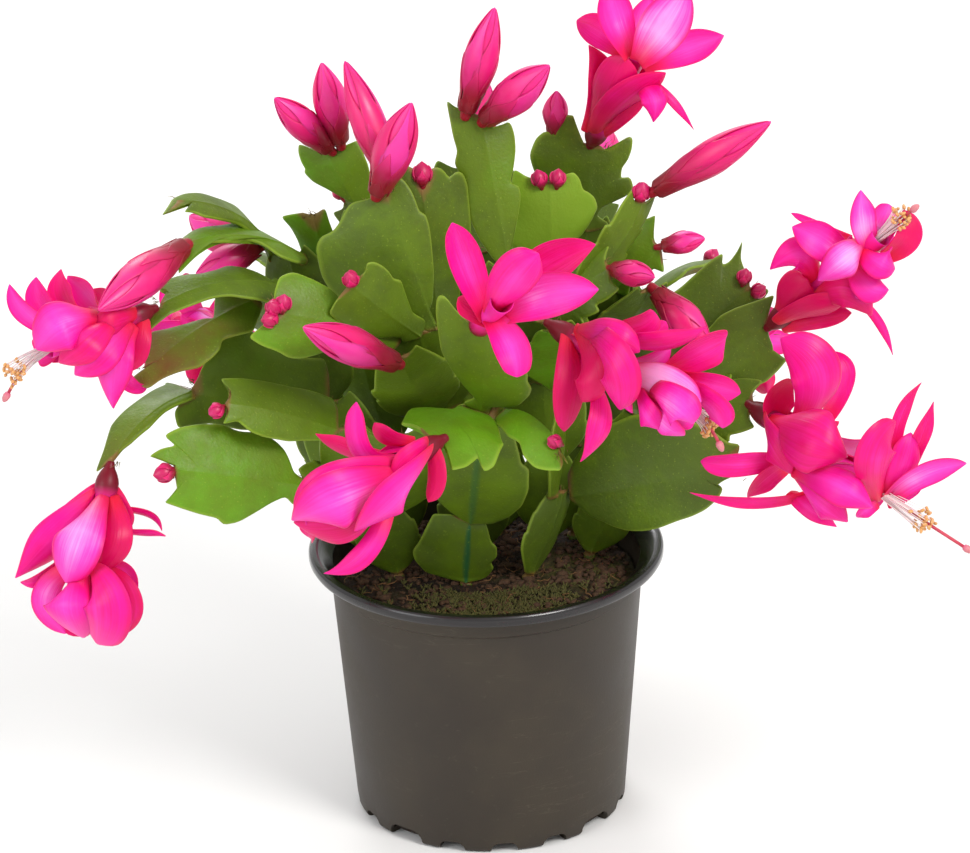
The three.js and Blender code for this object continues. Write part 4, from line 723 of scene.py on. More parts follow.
class Shade:
    """A socket that can be used in sums, each of which adds its node."""

    def __init__(self, finish, socket):
        self.finish = finish
        self.socket = socket

    def work(self, operation, first, second):
        return self.finish.add("ShaderNodeMath", {"operation": operation}, {0: first, 1: second})

    def __add__(self, other):
        return self.work("ADD", self, other)

    def __radd__(self, other):
        return self.work("ADD", other, self)

    def __sub__(self, other):
        return self.work("SUBTRACT", self, other)

    def __rsub__(self, other):
        return self.work("SUBTRACT", other, self)

    def __mul__(self, other):
        return self.work("MULTIPLY", self, other)

    def __rmul__(self, other):
        return self.work("MULTIPLY", other, self)

    def __pow__(self, other):
        return self.work("POWER", self, other)

    def __abs__(self):
        return self.work("ABSOLUTE", self, 0)


class Finish:
    """One procedural material. add() is the one way in which its nodes are made."""

    def __init__(self, name, **fixed):
        self.material = bpy.data.materials.new(name)
        self.material.use_nodes = True
        self.tree = self.material.node_tree
        self.tree.nodes.clear()
        self.shader = self.tree.nodes.new("ShaderNodeBsdfPrincipled")
        output = self.tree.nodes.new("ShaderNodeOutputMaterial")
        self.tree.links.new(self.shader.outputs[0], output.inputs[0])
        for socket, value in fixed.items():
            self.shader.inputs[socket.replace("_", " ")].default_value = value

    def feed(self, socket, value):
        if isinstance(value, Shade):
            self.tree.links.new(value.socket, socket)
        elif socket.type == "RGBA" and len(value) == 3:
            socket.default_value = (*value, 1)
        else:
            socket.default_value = value

    def add(self, kind, settings=None, inputs=None, output=0):
        node = self.tree.nodes.new(kind)
        for name, value in (settings or {}).items():
            setattr(node, name, value)
        for name, value in (inputs or {}).items():
            self.feed(node.inputs[name], value)
        return Shade(self, node.outputs[output])

    def place(self):
        return self.add("ShaderNodeTexCoord", output="Object")

    def mark(self, name):
        return self.add("ShaderNodeAttribute", {"attribute_name": name}, output="Fac")

    def marks(self):
        """All that a mould's points carry, with the distance from the middle line as across."""
        return abs(self.mark("across")), self.mark("along"), self.mark("tone"), self.mark("blush")

    def cloud(self, scale, detail, rough=0.55, vector=None):
        """Soft noise from 0 to 1 with features of about 1 / scale metres."""
        inputs = {"Vector": vector or self.place(), "Scale": scale, "Detail": detail, "Roughness": rough}
        return self.add("ShaderNodeTexNoise", None, inputs)

    def step(self, value, low, high, start=0.0, end=1.0):
        settings = {"interpolation_type": "SMOOTHSTEP"}
        inputs = {"Value": value, "From Min": low, "From Max": high, "To Min": start, "To Max": end}
        return self.add("ShaderNodeMapRange", settings, inputs)

    def mix(self, share, first, second):
        """Blends two colours. Inputs 6 and 7 and output 2 are the colour ones of the node."""
        return self.add("ShaderNodeMix", {"data_type": "RGBA"}, {0: share, 6: first, 7: second}, output=2)

    def stretched(self, scale):
        return self.add("ShaderNodeMapping", None, {"Vector": self.place(), "Scale": scale})

    def bump(self, height, strength, distance):
        inputs = {"Height": height, "Strength": strength, "Distance": distance}
        return self.add("ShaderNodeBump", None, inputs)

    def drive(self, **links):
        for socket, value in links.items():
            self.feed(self.shader.inputs[socket.replace("_", " ")], value)
        return self.material


def leaf_finish(colours):
    """Fleshy green skin: a paler rim, a faint or dark midrib, mottling, corky necks, a wax sheen, and painted
    light and shade from each segment's tone.
    """
    made = Finish(
        "Leaf_Skin",
        Subsurface_Weight=0.12,
        Subsurface_Radius=(0.6, 1.0, 0.25),
        Subsurface_Scale=0.002,
        Specular_IOR_Level=0.24,
    )
    across, along, tone, blush = made.marks()
    broad = made.cloud(38, 2.0)
    fine = made.cloud(420, 3.0)
    patches = made.cloud(110, 3.0, 0.6)
    # Painted light and shade: the segment's tone, with random patches, sets how far it runs from dark to
    # fresh green.
    light = tone + (broad - 0.5) * 0.75 + (patches - 0.5) * 0.5 + (fine - 0.5) * 0.2
    skin = made.mix(made.step(light, 0.2, 0.62), colours.leaf_dark, colours.leaf)
    skin = made.mix(made.step(light, 0.55, 1.05), skin, colours.leaf_fresh)
    skin = made.mix(made.step(tone, 1.05, 1.3) * 0.5, skin, colours.leaf_rim)
    skin = made.mix(made.step(across, 0.93, 1.0) * 0.5, skin, colours.leaf_rim)
    rib = made.step(across, 0.02, 0.11, 1.0, 0.0)
    skin = made.mix(rib * made.step(blush, -1.2, -0.2, 0.9, 0.0), skin, colours.rib)
    worn = made.cloud(90, 4.0)
    red = made.step(blush * (0.25 + along) + (worn - 0.5) * 1.3 * blush, 0.15, 0.75)
    skin = made.mix(red * 0.8, skin, colours.blush)
    neck = made.step(along + (worn - 0.5) * 0.12, 0.015, 0.075, 1.0, 0.0)
    hollow = made.step(along + (worn - 0.5) * 0.1, 0.945, 0.985)
    skin = made.mix(neck * 0.75, skin, colours.cork)
    skin = made.mix(hollow * 0.8, skin, colours.cork)
    speck = made.step(made.cloud(1300, 1.0), 0.66, 0.76)
    skin = made.mix(speck * 0.36, skin, colours.leaf_rim)
    rough = made.step(made.cloud(160, 3.0), 0.3, 0.7, 0.4, 0.56)
    height = fine * 0.5 + made.cloud(1100, 2.0) * 0.4 + patches * 0.7 + broad * 0.6
    return made.drive(Base_Color=skin, Roughness=rough, Normal=made.bump(height, 0.3, 0.001))


def petal_finish(colours):
    """Thin glowing petals: crimson at the root and the rim, hot pink, painted shade in deep crimson,
    violet-pink down the middle that is partly a painted highlight, and an almost white painted highlight on
    the lightest.
    """
    made = Finish(
        "Petal_Skin",
        Subsurface_Weight=0.35,
        Subsurface_Radius=(1.0, 0.25, 0.6),
        Subsurface_Scale=0.0022,
        Specular_IOR_Level=0.24,
    )
    across, along, tone, blush = made.marks()
    soft = made.cloud(55, 2.0)
    lengthwise = {0: made.mark("across") * 9, 1: along * 0.7, 2: tone * 40}
    streaks = made.add("ShaderNodeCombineXYZ", None, lengthwise)
    veins = made.add("ShaderNodeTexNoise", None, {"Vector": streaks, "Scale": 1.6, "Detail": 2.0})
    # The tone paints in each petal's light and shade; soft patches and veins vary it.
    light = tone + (soft - 0.5) * 0.5 + (veins - 0.5) * 0.35
    # Painted shade: where the light is low the petal turns deep crimson.
    skin = made.mix(made.step(light, 0.12, 0.6), colours.petal_deep, colours.petal)
    # Partly the petal's own violet middle and partly a painted highlight down its middle.
    glow = made.step(light - across * 0.55 - abs(along - 0.5) * 0.6, 0.1, 0.85)
    skin = made.mix(glow * 0.62, skin, colours.petal_glow)
    # Painted highlight: almost white on the lightest middle of a petal.
    pale = made.step(light - abs(along - 0.4) * 0.7 - across * 0.3, 0.62, 1.15)
    skin = made.mix(pale * 0.85, skin, colours.petal_painted_highlight)
    rim = made.step(across + along * 0.12, 0.82, 1.08)
    skin = made.mix(rim * 0.7, skin, colours.petal_rim)
    root = made.step(along + (soft - 0.5) * 0.15, 0.0, 0.38, 1.0, 0.0)
    skin = made.mix(root * 0.85, skin, colours.petal_root)
    skin = made.mix(blush, skin, colours.ovary)
    rough = made.step(soft, 0.3, 0.7, 0.34, 0.5)
    return made.drive(Base_Color=skin, Roughness=rough, Normal=made.bump(veins, 0.25, 0.0006))


def bud_finish(colours):
    """Crimson scales at the foot, hot pink towards the point, each scale with a darker rim."""
    made = Finish(
        "Bud_Skin",
        Subsurface_Weight=0.2,
        Subsurface_Radius=(1.0, 0.25, 0.5),
        Subsurface_Scale=0.002,
        Specular_IOR_Level=0.45,
    )
    across, along, tone, blush = made.marks()
    soft = made.cloud(120, 3.0)
    skin = made.mix(made.step(along + (soft - 0.5) * 0.3, 0.05, 0.6), colours.bud_foot, colours.bud)
    glow = made.step(tone + along * 0.5 + (soft - 0.5) * 0.4, 0.6, 1.4)
    skin = made.mix(glow * 0.4, skin, colours.petal_glow)
    skin = made.mix(made.step(across, 0.75, 1.0) * 0.35, skin, colours.bud_foot)
    skin = made.mix(blush, skin, colours.ovary)
    rough = made.step(soft, 0.3, 0.7, 0.34, 0.48)
    return made.drive(Base_Color=skin, Roughness=rough, Normal=made.bump(soft, 0.2, 0.0006))


def stamen_finish(colours):
    """White filaments that turn pink at the foot, tan anthers, and a crimson style by its blush."""
    made = Finish("Stamen_Silk", Subsurface_Weight=0.15, Subsurface_Scale=0.001, Roughness=0.5)
    along = made.mark("along")
    tone = made.mark("tone")
    silk = made.mix(made.step(along, 0.0, 0.5, 1.0, 0.0) * 0.5, colours.filament, colours.petal_glow)
    grain = made.cloud(2500, 2.0)
    pollen = made.mix(made.step(grain, 0.45, 0.75) * 0.35, colours.anther, colours.filament)
    skin = made.mix(made.step(tone, 0.4, 0.6), silk, pollen)
    skin = made.mix(made.mark("blush"), skin, colours.style)
    return made.drive(Base_Color=skin, Normal=made.bump(grain, 0.3, 0.0003))


def bristle_finish(colours):
    """Dry brown hairs, paler at the tips."""
    made = Finish("Bristle", Roughness=0.75)
    shade = made.mix(made.mark("along"), colours.bristle, colours.cork)
    shade = made.mix(made.step(made.cloud(900, 2.0), 0.35, 0.7) * 0.5, shade, colours.leaf_rim)
    return made.drive(Base_Color=shade)


# The heights between which the pot's wall turns into its glossy rim.
GLOSSY_RIM = (0.0875, 0.0905)


def pot_finish(colours):
    """Thin moulded plastic: a soft cloudy grain, a glossy rim, faint scratches and dust."""
    made = Finish("Pot_Plastic", Specular_IOR_Level=0.36, Coat_Roughness=0.12)
    height = made.add("ShaderNodeSeparateXYZ", None, {0: made.place()}, output=2)
    cloud = made.cloud(22, 4.0)
    grain = made.cloud(1400, 2.0)
    rim = made.step(height, *GLOSSY_RIM)
    wall = made.mix(made.step(cloud, 0.35, 0.68), colours.pot, colours.pot_warm)
    wall = made.mix(rim * 0.93, wall, colours.pot_rim)
    dust = made.step(made.cloud(260, 5.0, 0.7), 0.6, 0.78) * 0.16
    wall = made.mix(dust, wall, colours.pot_dust)
    flow = made.cloud(9, 5.0, 0.6, made.stretched((1.0, 1.0, 14.0)))
    scratch = made.step(abs(flow - 0.5), 0.0, 0.006, 1.0, 0.0) * made.step(cloud, 0.5, 0.62)
    wall = made.mix(scratch * 0.15 * (1 - rim), wall, colours.pot_dust)
    rough = made.step(cloud + (grain - 0.5) * 0.2, 0.3, 0.7, 0.42, 0.55) - rim * 0.24
    surface = grain * 0.3 + cloud * 0.8 + scratch * 0.2
    return made.drive(
        Base_Color=wall, Roughness=rough, Coat_Weight=rim * 0.35, Normal=made.bump(surface, 0.12, 0.0008)
    )


def soil_finish(colours):
    """Damp peat: crumbs from near black to rust, mossy patches by noise and by blush."""
    made = Finish("Peat", Specular_IOR_Level=0.3)
    coarse = made.cloud(110, 6.0, 0.7)
    fine = made.cloud(700, 4.0, 0.7)
    spots = {"Vector": made.place(), "Scale": 420.0}
    crumb = made.add("ShaderNodeTexVoronoi", None, spots, output="Distance")
    peat = made.mix(made.step(coarse, 0.3, 0.7), colours.peat_dark, colours.peat)
    peat = made.mix(made.step(fine, 0.52, 0.75) * 0.6, peat, colours.peat_rust)
    moss = made.step(made.cloud(30, 3.0) + made.mark("blush") * 0.25, 0.5, 0.68)
    green = made.mix(fine, colours.moss_dark, colours.moss)
    peat = made.mix(moss * 0.85, peat, green)
    height = coarse * 1.0 + fine * 0.8 - crumb * 0.8
    rough = made.step(fine, 0.3, 0.7, 0.75, 0.95)
    return made.drive(Base_Color=peat, Roughness=rough, Normal=made.bump(height, 0.8, 0.002))


def scrap_finish(colours):
    """Bits that lie on the soil: bark by low tone, straw fibres by mid tone, moss by high tone."""
    made = Finish("Soil_Scraps", Roughness=0.85)
    tone = made.mark("tone")
    grain = made.cloud(900, 4.0, 0.7)
    bark = made.mix(grain, colours.peat_dark, colours.peat_rust)
    straw = made.mix(grain, colours.cork, colours.straw)
    moss = made.mix(grain, colours.moss_dark, colours.moss)
    shade = made.mix(made.step(tone, 0.3, 0.36), bark, straw)
    shade = made.mix(made.step(tone, 0.63, 0.7), shade, moss)
    return made.drive(Base_Color=shade, Normal=made.bump(grain, 0.5, 0.0006))


FLOOR_CLOUD = (0.86, 0.86, 0.85)


def stage_finish(name, colour, scale):
    """A plain pale surface with hardly any variation."""
    made = Finish(name, Roughness=0.8)
    soft = made.cloud(scale, 2.0)
    return made.drive(Base_Color=made.mix(soft * 0.03, colour, FLOOR_CLOUD))


# Shapes of the plant --------


def framed(start, end, face, tilt):
    """Axis, length, flat side and sideways direction of a segment between two joints."""
    axis = end - start
    length = axis.length
    axis.normalize()
    turn, rise = math.radians(face), math.radians(tilt)
    flat = Vector((math.sin(turn) * math.cos(rise), -math.cos(turn) * math.cos(rise), math.sin(rise)))
    flat = (flat - axis * flat.dot(axis)).normalized()
    return axis, length, flat, flat.cross(axis)


# A neck's depth in its carrier's tip, and the share of the tip's width that fellow necks spread over.
NECK_SUNK = 3.2 * MM
NECK_SPREAD = 0.42


def neck_of(step, segments):
    """Where a segment's neck sits: side by side with its fellows across the parent's tip, sunk a little."""
    start = point(JOINTS[step[0]])
    carrier = next((s for s in segments if s[1] == step[0]), None)
    if carrier is None:
        return start
    axis, _, _, side = framed(point(JOINTS[carrier[0]]), start, carrier[3], carrier[4])
    fellows = [s for s in segments if s[0] == step[0]]
    fellows.sort(key=lambda s: (point(JOINTS[s[1]]) - start).dot(side))
    place = fellows.index(step) - (len(fellows) - 1) / 2
    spacing = NECK_SPREAD * carrier[2] * MM / max(len(fellows) - 1, 1)
    return start - axis * NECK_SUNK + side * place * spacing


# Belly of a segment's outline as (along, half width), before its teeth are cut.
BELLY = {
    TOOTHED: ((0, 0.13), (0.08, 0.42), (0.22, 0.85), (0.5, 1.0), (0.8, 0.93), (1.05, 0.7)),
    PLAIN: ((0, 0.16), (0.1, 0.5), (0.3, 0.93), (0.55, 1.0), (0.8, 0.9), (1.03, 0.55)),
}
# Across a blade: where its columns stand, and half its thickness there in millimetres by default.
RIB_COLUMNS = (0, 0.07, 0.24, 0.5, 0.74, 0.92, 1)
HALF_THICKNESS = (1.42, 1.2, 1.16, 1.08, 0.92, 0.66, 0.4)
# Spots on each edge, and on each arc from one tooth of a ruled edge to the next.
EDGE_SPOTS = 30
ARC_ROWS = 5
# Along a segment: where its teeth start, how far they run, and the spot at the foot of its tip's hollow.
TEETH_START = 0.34
TEETH_RUN = 0.52
TIP_HOLLOW = (0.972, 0.2)
# The last row of the horns along the middle line, how far the rest runs on, and the least step of a row.
HORN_ROW = 0.88
HOLLOW_RUN = 0.11
LEAST_STEP = 0.002
# The gap between a ruled neck and the first traced spot.
NECK_GAP = 0.07


def drawn_edge(rng, outline, teeth):
    """One edge of a hidden segment, from neck to tip, as (along, across) spots with claw-like teeth."""
    belly = BELLY[outline]
    horn = belly[-1]
    clawed = outline == TOOTHED
    tips = []
    for k in range(teeth):
        along = TEETH_START + (k + 0.5) * TEETH_RUN / teeth + rng.uniform(-0.04, 0.04)
        tips.append((along, through(belly, along) + (rng.uniform(0.0, 0.07) if clawed else 0.01)))
    tips.append((horn[0] + rng.uniform(-0.03, 0.05), horn[1] + rng.uniform(-0.1, 0.06)))
    spots = []
    start = belly[0]
    for k, tip in enumerate(tips):
        bulge = rng.uniform(0.02, 0.06)
        for i in range(ARC_ROWS + 1):
            t = i / ARC_ROWS
            along = start[0] + (tip[0] - start[0]) * t
            if k == 0:
                across = through(belly, along) + (tip[1] - through(belly, tip[0])) * t * t
            else:
                across = start[1] + (tip[1] - start[1]) * t + bulge * 4 * t * (1 - t)
            spots.append((along, across))
        depth = rng.uniform(0.11, 0.24) if clawed else rng.uniform(0.04, 0.08)
        start = (tip[0] - 0.012, tip[1] - depth)
    dip = rng.uniform(0.015, 0.05)
    horn = tips[-1]
    for i in range(1, ARC_ROWS):
        t = i / (ARC_ROWS - 1)
        along = horn[0] + (TIP_HOLLOW[0] - horn[0]) * t - dip * 4 * t * (1 - t)
        spots.append((along, horn[1] + (TIP_HOLLOW[1] - horn[1]) * t))
    return spots


def necked(edge):
    """A traced edge as (along, across) spots, with its neck put in where the tracing starts later."""
    spots = [(along / 100, across / 100) for along, across in zip(edge[::2], edge[1::2])]
    neck = [spot for spot in BELLY[TOOTHED] if spot[0] < spots[0][0] - NECK_GAP]
    return neck + [(max(along, 0), across) for along, across in spots]


def evened(spots, length, half_width, count):
    """The same edge with a set number of spots, by halving its longest steps, so that its corners stay."""
    spots = [Vector((along * length, across * half_width)) for along, across in spots]
    while len(spots) < count:
        steps = [(b - a).length for a, b in zip(spots, spots[1:])]
        longest = steps.index(max(steps))
        spots.insert(longest + 1, (spots[longest] + spots[longest + 1]) / 2)
    return [(spot.x / length, spot.y / half_width) for spot in spots]


def middle_rows(edges):
    """Where the middle line passes each row: evenly with the edges up to the horns, then on to the tip."""
    mean = [(left[0] + right[0]) / 2 for left, right in zip(edges[1], edges[-1])]
    horn = mean.index(max(mean))
    rest = len(mean) - 1 - horn
    spots = []
    for i, along in enumerate(mean):
        if i <= horn:
            wanted = HORN_ROW * along / mean[horn]
        else:
            wanted = HORN_ROW + HOLLOW_RUN * (i - horn) / rest
        spots.append(max(wanted, spots[-1] + LEAST_STEP) if spots else wanted)
    return spots


# How much faster the rows turn towards the edge, and a blade's unevenness: waves to a metre and millimetres.
ROW_CURL = 1.35
UNEVEN_SCALE = 45
UNEVEN_HEIGHT = 1.1


def grow_segment(mould, step, segments, rng, sizes):
    """One flat stem segment with its teeth, midrib, curled edges and uneven surface. Gives the hollow of
    its tip, with the axis, flat side, sideways direction and half width there."""
    _, end, width, face, tilt, bow, outline = step
    start = neck_of(step, segments)
    tip = point(JOINTS[end])
    axis, length, flat, side = framed(start, tip, face, tilt)
    half_width = width * MM / 2
    if end in OUTLINES:
        drawn = [necked(edge) for edge in OUTLINES[end]]
    else:
        teeth = rng.choice((2, 2, 3)) if outline == TOOTHED else 2
        drawn = [drawn_edge(rng, outline, teeth) for _ in range(2)]
    edges = {hand: evened(edge, length, half_width, EDGE_SPOTS) for hand, edge in zip((1, -1), drawn)}
    rows = EDGE_SPOTS - 1
    middle = middle_rows(edges)
    # The tone holds the segment's own green together with painted light and shade.
    tone = SEGMENT_TONES_AND_LIGHT.get(end, rng.uniform(0.2, 0.5)) + rng.uniform(-0.03, 0.03)
    blush = BLUSHES.get(end, 0.0) - RIBBED.get(end, 0.0)
    wave = rng.uniform(0.02, 0.06) * half_width
    phase = rng.uniform(0, math.tau)
    ripples = rng.uniform(1.2, 2.2)
    last = len(RIB_COLUMNS) - 1
    rib = 0.25 + RIBBED.get(end, 0.0) * 0.5

    def place(across, along, hand):
        column = round(abs(across) * last)
        share = RIB_COLUMNS[column]
        row = round(along * rows)
        left = -1 if across < 0 else 1
        edge_along, edge_across = edges[left][row]
        reach = middle[row] + (edge_along - middle[row]) * share**ROW_CURL
        spread = left * share * edge_across
        lift = bow * length * 4 * reach * (1 - reach) - sizes.leaf_cup * spread * spread * half_width
        lift += wave * spread * spread * math.sin(phase + reach * ripples * math.tau + left)
        spot = start + axis * (reach * length) + side * (spread * half_width) + flat * lift
        uneven = noise.noise(spot * UNEVEN_SCALE + Vector((phase, 0, 0)))
        spot += flat * uneven * UNEVEN_HEIGHT * MM * share
        half = HALF_THICKNESS[column] * sizes.leaf_thickness * 500
        half += rib * (1 - share) ** 6 * (1 - 0.7 * reach)
        half *= 1 + 0.5 * (1 - smooth(0, 0.1, reach)) - 0.35 * smooth(0.8, 1.0, reach)
        spot += flat * (hand * half * MM)
        return spot, {"along": row / rows, "across": left * share, "tone": tone, "blush": blush}

    mould.blade(2 * last, rows, place)
    (near_along, near_across), (far_along, far_across) = edges[1][-1], edges[-1][-1]
    hollow = start + axis * ((near_along + far_along) / 2 * length)
    hollow += side * ((near_across - far_across) / 2 * half_width)
    return hollow, axis, flat, side, half_width


# The short round foot of a stem: how deep in the soil it starts, and its radii.
ROOT_DEPTH = 6
ROOT_RADII = (3.0 * MM, 2.6 * MM)
# Dry hairs: how many a tip has, and the radii of one.
HAIR_COUNTS = (5, 7, 9, 12)
HAIR_RADII = (0.17 * MM, 0.13 * MM, 0.04 * MM)


def grow_bristles(mould, hollow, rng, count):
    """Fine dry hairs in the hollow at a segment's tip, most of them short."""
    tip, axis, flat, side, half_width = hollow
    for _ in range(count):
        spread = rng.uniform(-0.3, 0.3)
        root = tip - axis * 1.2 * MM + side * spread * half_width + flat * rng.uniform(-0.6, 0.6) * MM
        out = (axis + side * rng.uniform(-0.8, 0.8) + flat * rng.uniform(-0.7, 0.7)).normalized()
        bend = (out + flat * rng.uniform(-0.6, 0.6) + side * rng.uniform(-0.6, 0.6)).normalized()
        length = 1.6 * MM + rng.uniform(0.2, 1) ** 2 * 3.0 * MM
        path = [root, root + out * length * 0.5, root + out * length * 0.5 + bend * length * 0.5]
        mould.strand(path, HAIR_RADII, 3, tone=0.5, blush=0)


# The bodies of buds as (along, share of the radius).
SMALL_BUD_STOPS = ((0, 0.34), (0.18, 0.66), (0.45, 1.0), (0.75, 0.82), (0.93, 0.4), (1.0, 0.1))
BUD_STOPS = (
    (0, 0.4), (0.08, 0.52), (0.16, 0.6), (0.3, 0.84), (0.48, 1.0), (0.66, 0.9), (0.82, 0.6), (0.94, 0.26),
    (1, 0.06),
)
SCALE_THICKNESS = 0.22 * MM


def grow_small_bud(mould, base, tip, radius, rng):
    """A round bud: a ball with a small point, and a few scales pressed to it."""
    axis = (tip - base).normalized()
    reach = min((tip - base).length, radius * 2.6)
    profile = [(0, -1.2 * MM), (0.3 * radius, -0.8 * MM)]
    profile += [(radius * through(SMALL_BUD_STOPS, i / 8), reach * i / 8) for i in range(9)]
    profile += [(0, reach * 1.04)]
    tone = rng.uniform(0.0, 0.4)
    mould.turned(profile, 14, standing(base, axis), tone=tone, blush=0.4)
    shape = BudShape(base, axis, reach, radius, SMALL_BUD_STOPS)
    for k in range(4):
        turn = k * math.pi / 2 + rng.uniform(-0.3, 0.3)
        grow_scale(mould, shape, 0.08 + 0.12 * (k % 2), 0.75 + 0.1 * (k % 2), turn, 0.8, 0.04, tone, 0.5)


class BudShape:
    """The round body that a bud's scales are pressed to."""

    def __init__(self, base, axis, length, radius, stops):
        self.base, self.axis, self.length, self.radius, self.stops = base, axis, length, radius, stops
        self.across, self.up = axes_of(axis)

    def spot(self, along, turn, lift):
        out = around(self.across, self.up, turn)
        reach = self.radius * through(self.stops, along) + lift
        return self.base + self.axis * (along * self.length) + out * reach


def grow_scale(mould, shape, low, high, turn, spread, twist, tone, blush, lift=0.25 * MM):
    """A scale or closed petal that lies on a bud, with its edges just proud so that they show."""

    def place(across, along, hand):
        full = 0.55 + 0.45 * math.sin(math.pi * min(along * 1.25 + 0.12, 1.0))
        width = spread * full * (1 - along**3) + 0.02
        angle = turn + across * width + twist * along
        t = low + (high - low) * along
        proud = lift * (0.6 + 0.5 * across * across) * (1 - 0.5 * along)
        proud += SCALE_THICKNESS if hand > 0 else -SCALE_THICKNESS * 1.6
        marks = {"along": t, "across": abs(across), "tone": tone, "blush": blush * (1 - along)}
        return shape.spot(t, angle, proud), marks

    mould.blade(6, 8, place)


# How far a bloom's or a bud's short stalk runs back into the tip that carries it.
STALK = 3 * MM


def grow_bud(mould, base, tip, radius, rng):
    """A long pointed bud: short crimson scales at its foot and long petals that wrap round it."""
    axis = (tip - base).normalized()
    length = (tip - base).length
    shape = BudShape(base, axis, length, radius, BUD_STOPS)
    profile = [(0, -STALK), (0.3 * radius, -STALK), (0.34 * radius, -0.4 * MM)]
    profile += [(0.93 * radius * through(BUD_STOPS, i / 14), length * i / 14) for i in range(15)]
    profile += [(0, length)]
    mould.turned(profile, 20, standing(base, axis), tone=0.5, blush=0.0)
    start = rng.uniform(0, math.tau)
    twist = rng.uniform(-0.5, 0.5)
    for k in range(5):
        angle = start + k * math.tau / 5
        grow_scale(mould, shape, 0.2, 0.995, angle, 0.85, twist, rng.uniform(0.2, 0.9), 0.0)
    for k in range(5):
        angle = start + (k + 0.5) * math.tau / 5 + rng.uniform(-0.2, 0.2)
        high = rng.uniform(0.42, 0.62)
        grow_scale(mould, shape, 0.06, high, angle, 0.72, 0.1, rng.uniform(0.1, 0.6), 0.3, 0.55 * MM)
    for k in range(4):
        angle = start + k * math.pi / 2 + rng.uniform(-0.2, 0.2)
        grow_scale(mould, shape, 0.015, rng.uniform(0.2, 0.28), angle, 0.8, 0.0, 0.1, 0.75, 0.8 * MM)


SEAT_RADIUS = 2.5 * MM


def seated(node, foot, axis):
    """How far along its axis the frame holds a bud or bloom from its place in the tables."""
    reach = []
    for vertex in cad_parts[node].data.vertices:
        leg = vertex.co - foot
        along = leg.dot(axis)
        if (leg - axis * along).length < SEAT_RADIUS:
            reach.append(along)
    return min(reach)


# A bloom's ovary and tube as (along, radius in millimetres).
TUBE_STOPS = ((0, 2.3), (0.04, 3.4), (0.1, 4.1), (0.16, 3.9), (0.22, 3.1), (0.45, 3.0), (0.75, 3.4), (1, 3.9))
# How far from the tube's axis a ruled petal starts, a petal's width at its foot, where along it a petal is
# widest, and how much a traced one turns to the viewer.
PETAL_ROOT = 2.1 * MM
PETAL_FOOT = 6.5 * MM
WIDEST = 0.55
FACING = 0.62
# The hollow of a petal: the radius at its root and where it has opened.
TUBE_RADIUS = 3.4 * MM
OPEN_RADIUS = 15 * MM
PETAL_COLUMNS = 8
PETAL_ROWS = 13


def petal_width(along, foot, slim):
    """Share of a petal's full width: it widens from its foot and ends in a point."""
    if along < WIDEST:
        return foot + (1 - foot) * math.sin(math.pi / 2 * along / WIDEST)
    left = 1 - (along - WIDEST) / 0.45
    return math.sin(math.pi / 2 * left) ** slim * 0.985 + 0.015


class Petal:
    """Where one petal runs: its root, middle and tip, its width, which way its outer side looks at the root
    and further on, how slim its tip is, and its tone, which on traced petals paints in their light and shade."""

    def __init__(self, root, middle, tip, width, outward, outer, slim, tone):
        self.root, self.middle, self.tip, self.width = root, middle, tip, width
        self.outward, self.outer, self.slim, self.tone = outward, outer, slim, tone


def grow_petal(mould, petal, rng, sizes):
    """One thin petal. It hugs the tube at its root like a trough, passes its middle and opens flat
    towards its tip."""
    root, tip, width = petal.root, petal.tip, petal.width
    turn = petal.middle * 2 - (root + tip) / 2
    first = root.lerp(turn, 2 / 3)
    second = tip.lerp(turn, 2 / 3)
    opened = max(OPEN_RADIUS, width * 1.1)
    foot = min(PETAL_FOOT / width, 0.8)
    wave = rng.uniform(0.01, 0.05) * width
    phase = rng.uniform(0, ANY_TURN)
    cup = sizes.petal_cup * rng.uniform(0.2, 1.4)
    thick = sizes.petal_thickness / 2
    lean = rng.uniform(-0.05, 0.05) * width
    marks = {"tone": petal.tone, "blush": 0.0}

    def place(across, along, side):
        left = 1 - along
        spot = root * left**3 + first * (3 * left * left * along)
        spot = spot + second * (3 * left * along**2) + tip * along**3
        ahead = (first - root) * left**2 + (second - first) * (2 * left * along) + (tip - second) * along**2
        ahead.normalize()
        face = petal.outward.lerp(petal.outer, smooth(0.0, 0.4, along))
        face = (face - ahead * face.dot(ahead)).normalized()
        sideways = face.cross(ahead)
        share = petal_width(along, foot, petal.slim)
        arc = across * share * width / 2
        bend = TUBE_RADIUS + (opened - TUBE_RADIUS) * smooth(0.05, 0.6, along)
        spot = spot + sideways * (bend * math.sin(arc / bend) + lean * math.sin(math.pi * along))
        spot -= face * (bend * (1 - math.cos(arc / bend)))
        spot -= face * (across * across * share * width * cup * smooth(0.3, 0.9, along))
        swing = math.sin(phase + along * 7 + (2 if across > 0 else 0))
        spot += face * (wave * across * across * swing * share)
        spot += face * (0.3 * MM * math.exp(-((across / 0.16) ** 2)) * left)
        edge = 1 - 0.55 * abs(across) ** 3
        spot += face * (side * thick * edge)
        return spot, {"along": along, "across": across, **marks}

    mould.blade(PETAL_COLUMNS, PETAL_ROWS, place)


def natural_outer(axis, root, tip):
    """Which way the outer side of a petal looks that bends away from the tube."""
    chord = (tip - root).normalized()
    return axis.cross(chord).normalized().cross(chord)


# A far bloom's petals, placed by rule as in the part: count, place on the tube, the middle's reach along and
# out, the tip's reach along and out, and width.
RINGS = ((5, 0.36, 6, 13, -3, 21, 10), (5, 0.86, 10, 9, 14, 20, 10))
TURN_UNEVEN = 0.4
TIP_UNEVEN = 3
EVEN_SEED = 7
EVEN_STEP = 16807
EVEN_SIZE = 2147483647


class EvenDraw:
    """The part's own even random numbers, so that its far blooms come out the same here."""

    def __init__(self):
        self.seed = EVEN_SEED

    def __call__(self):
        self.seed = self.seed * EVEN_STEP % EVEN_SIZE
        return self.seed / EVEN_SIZE


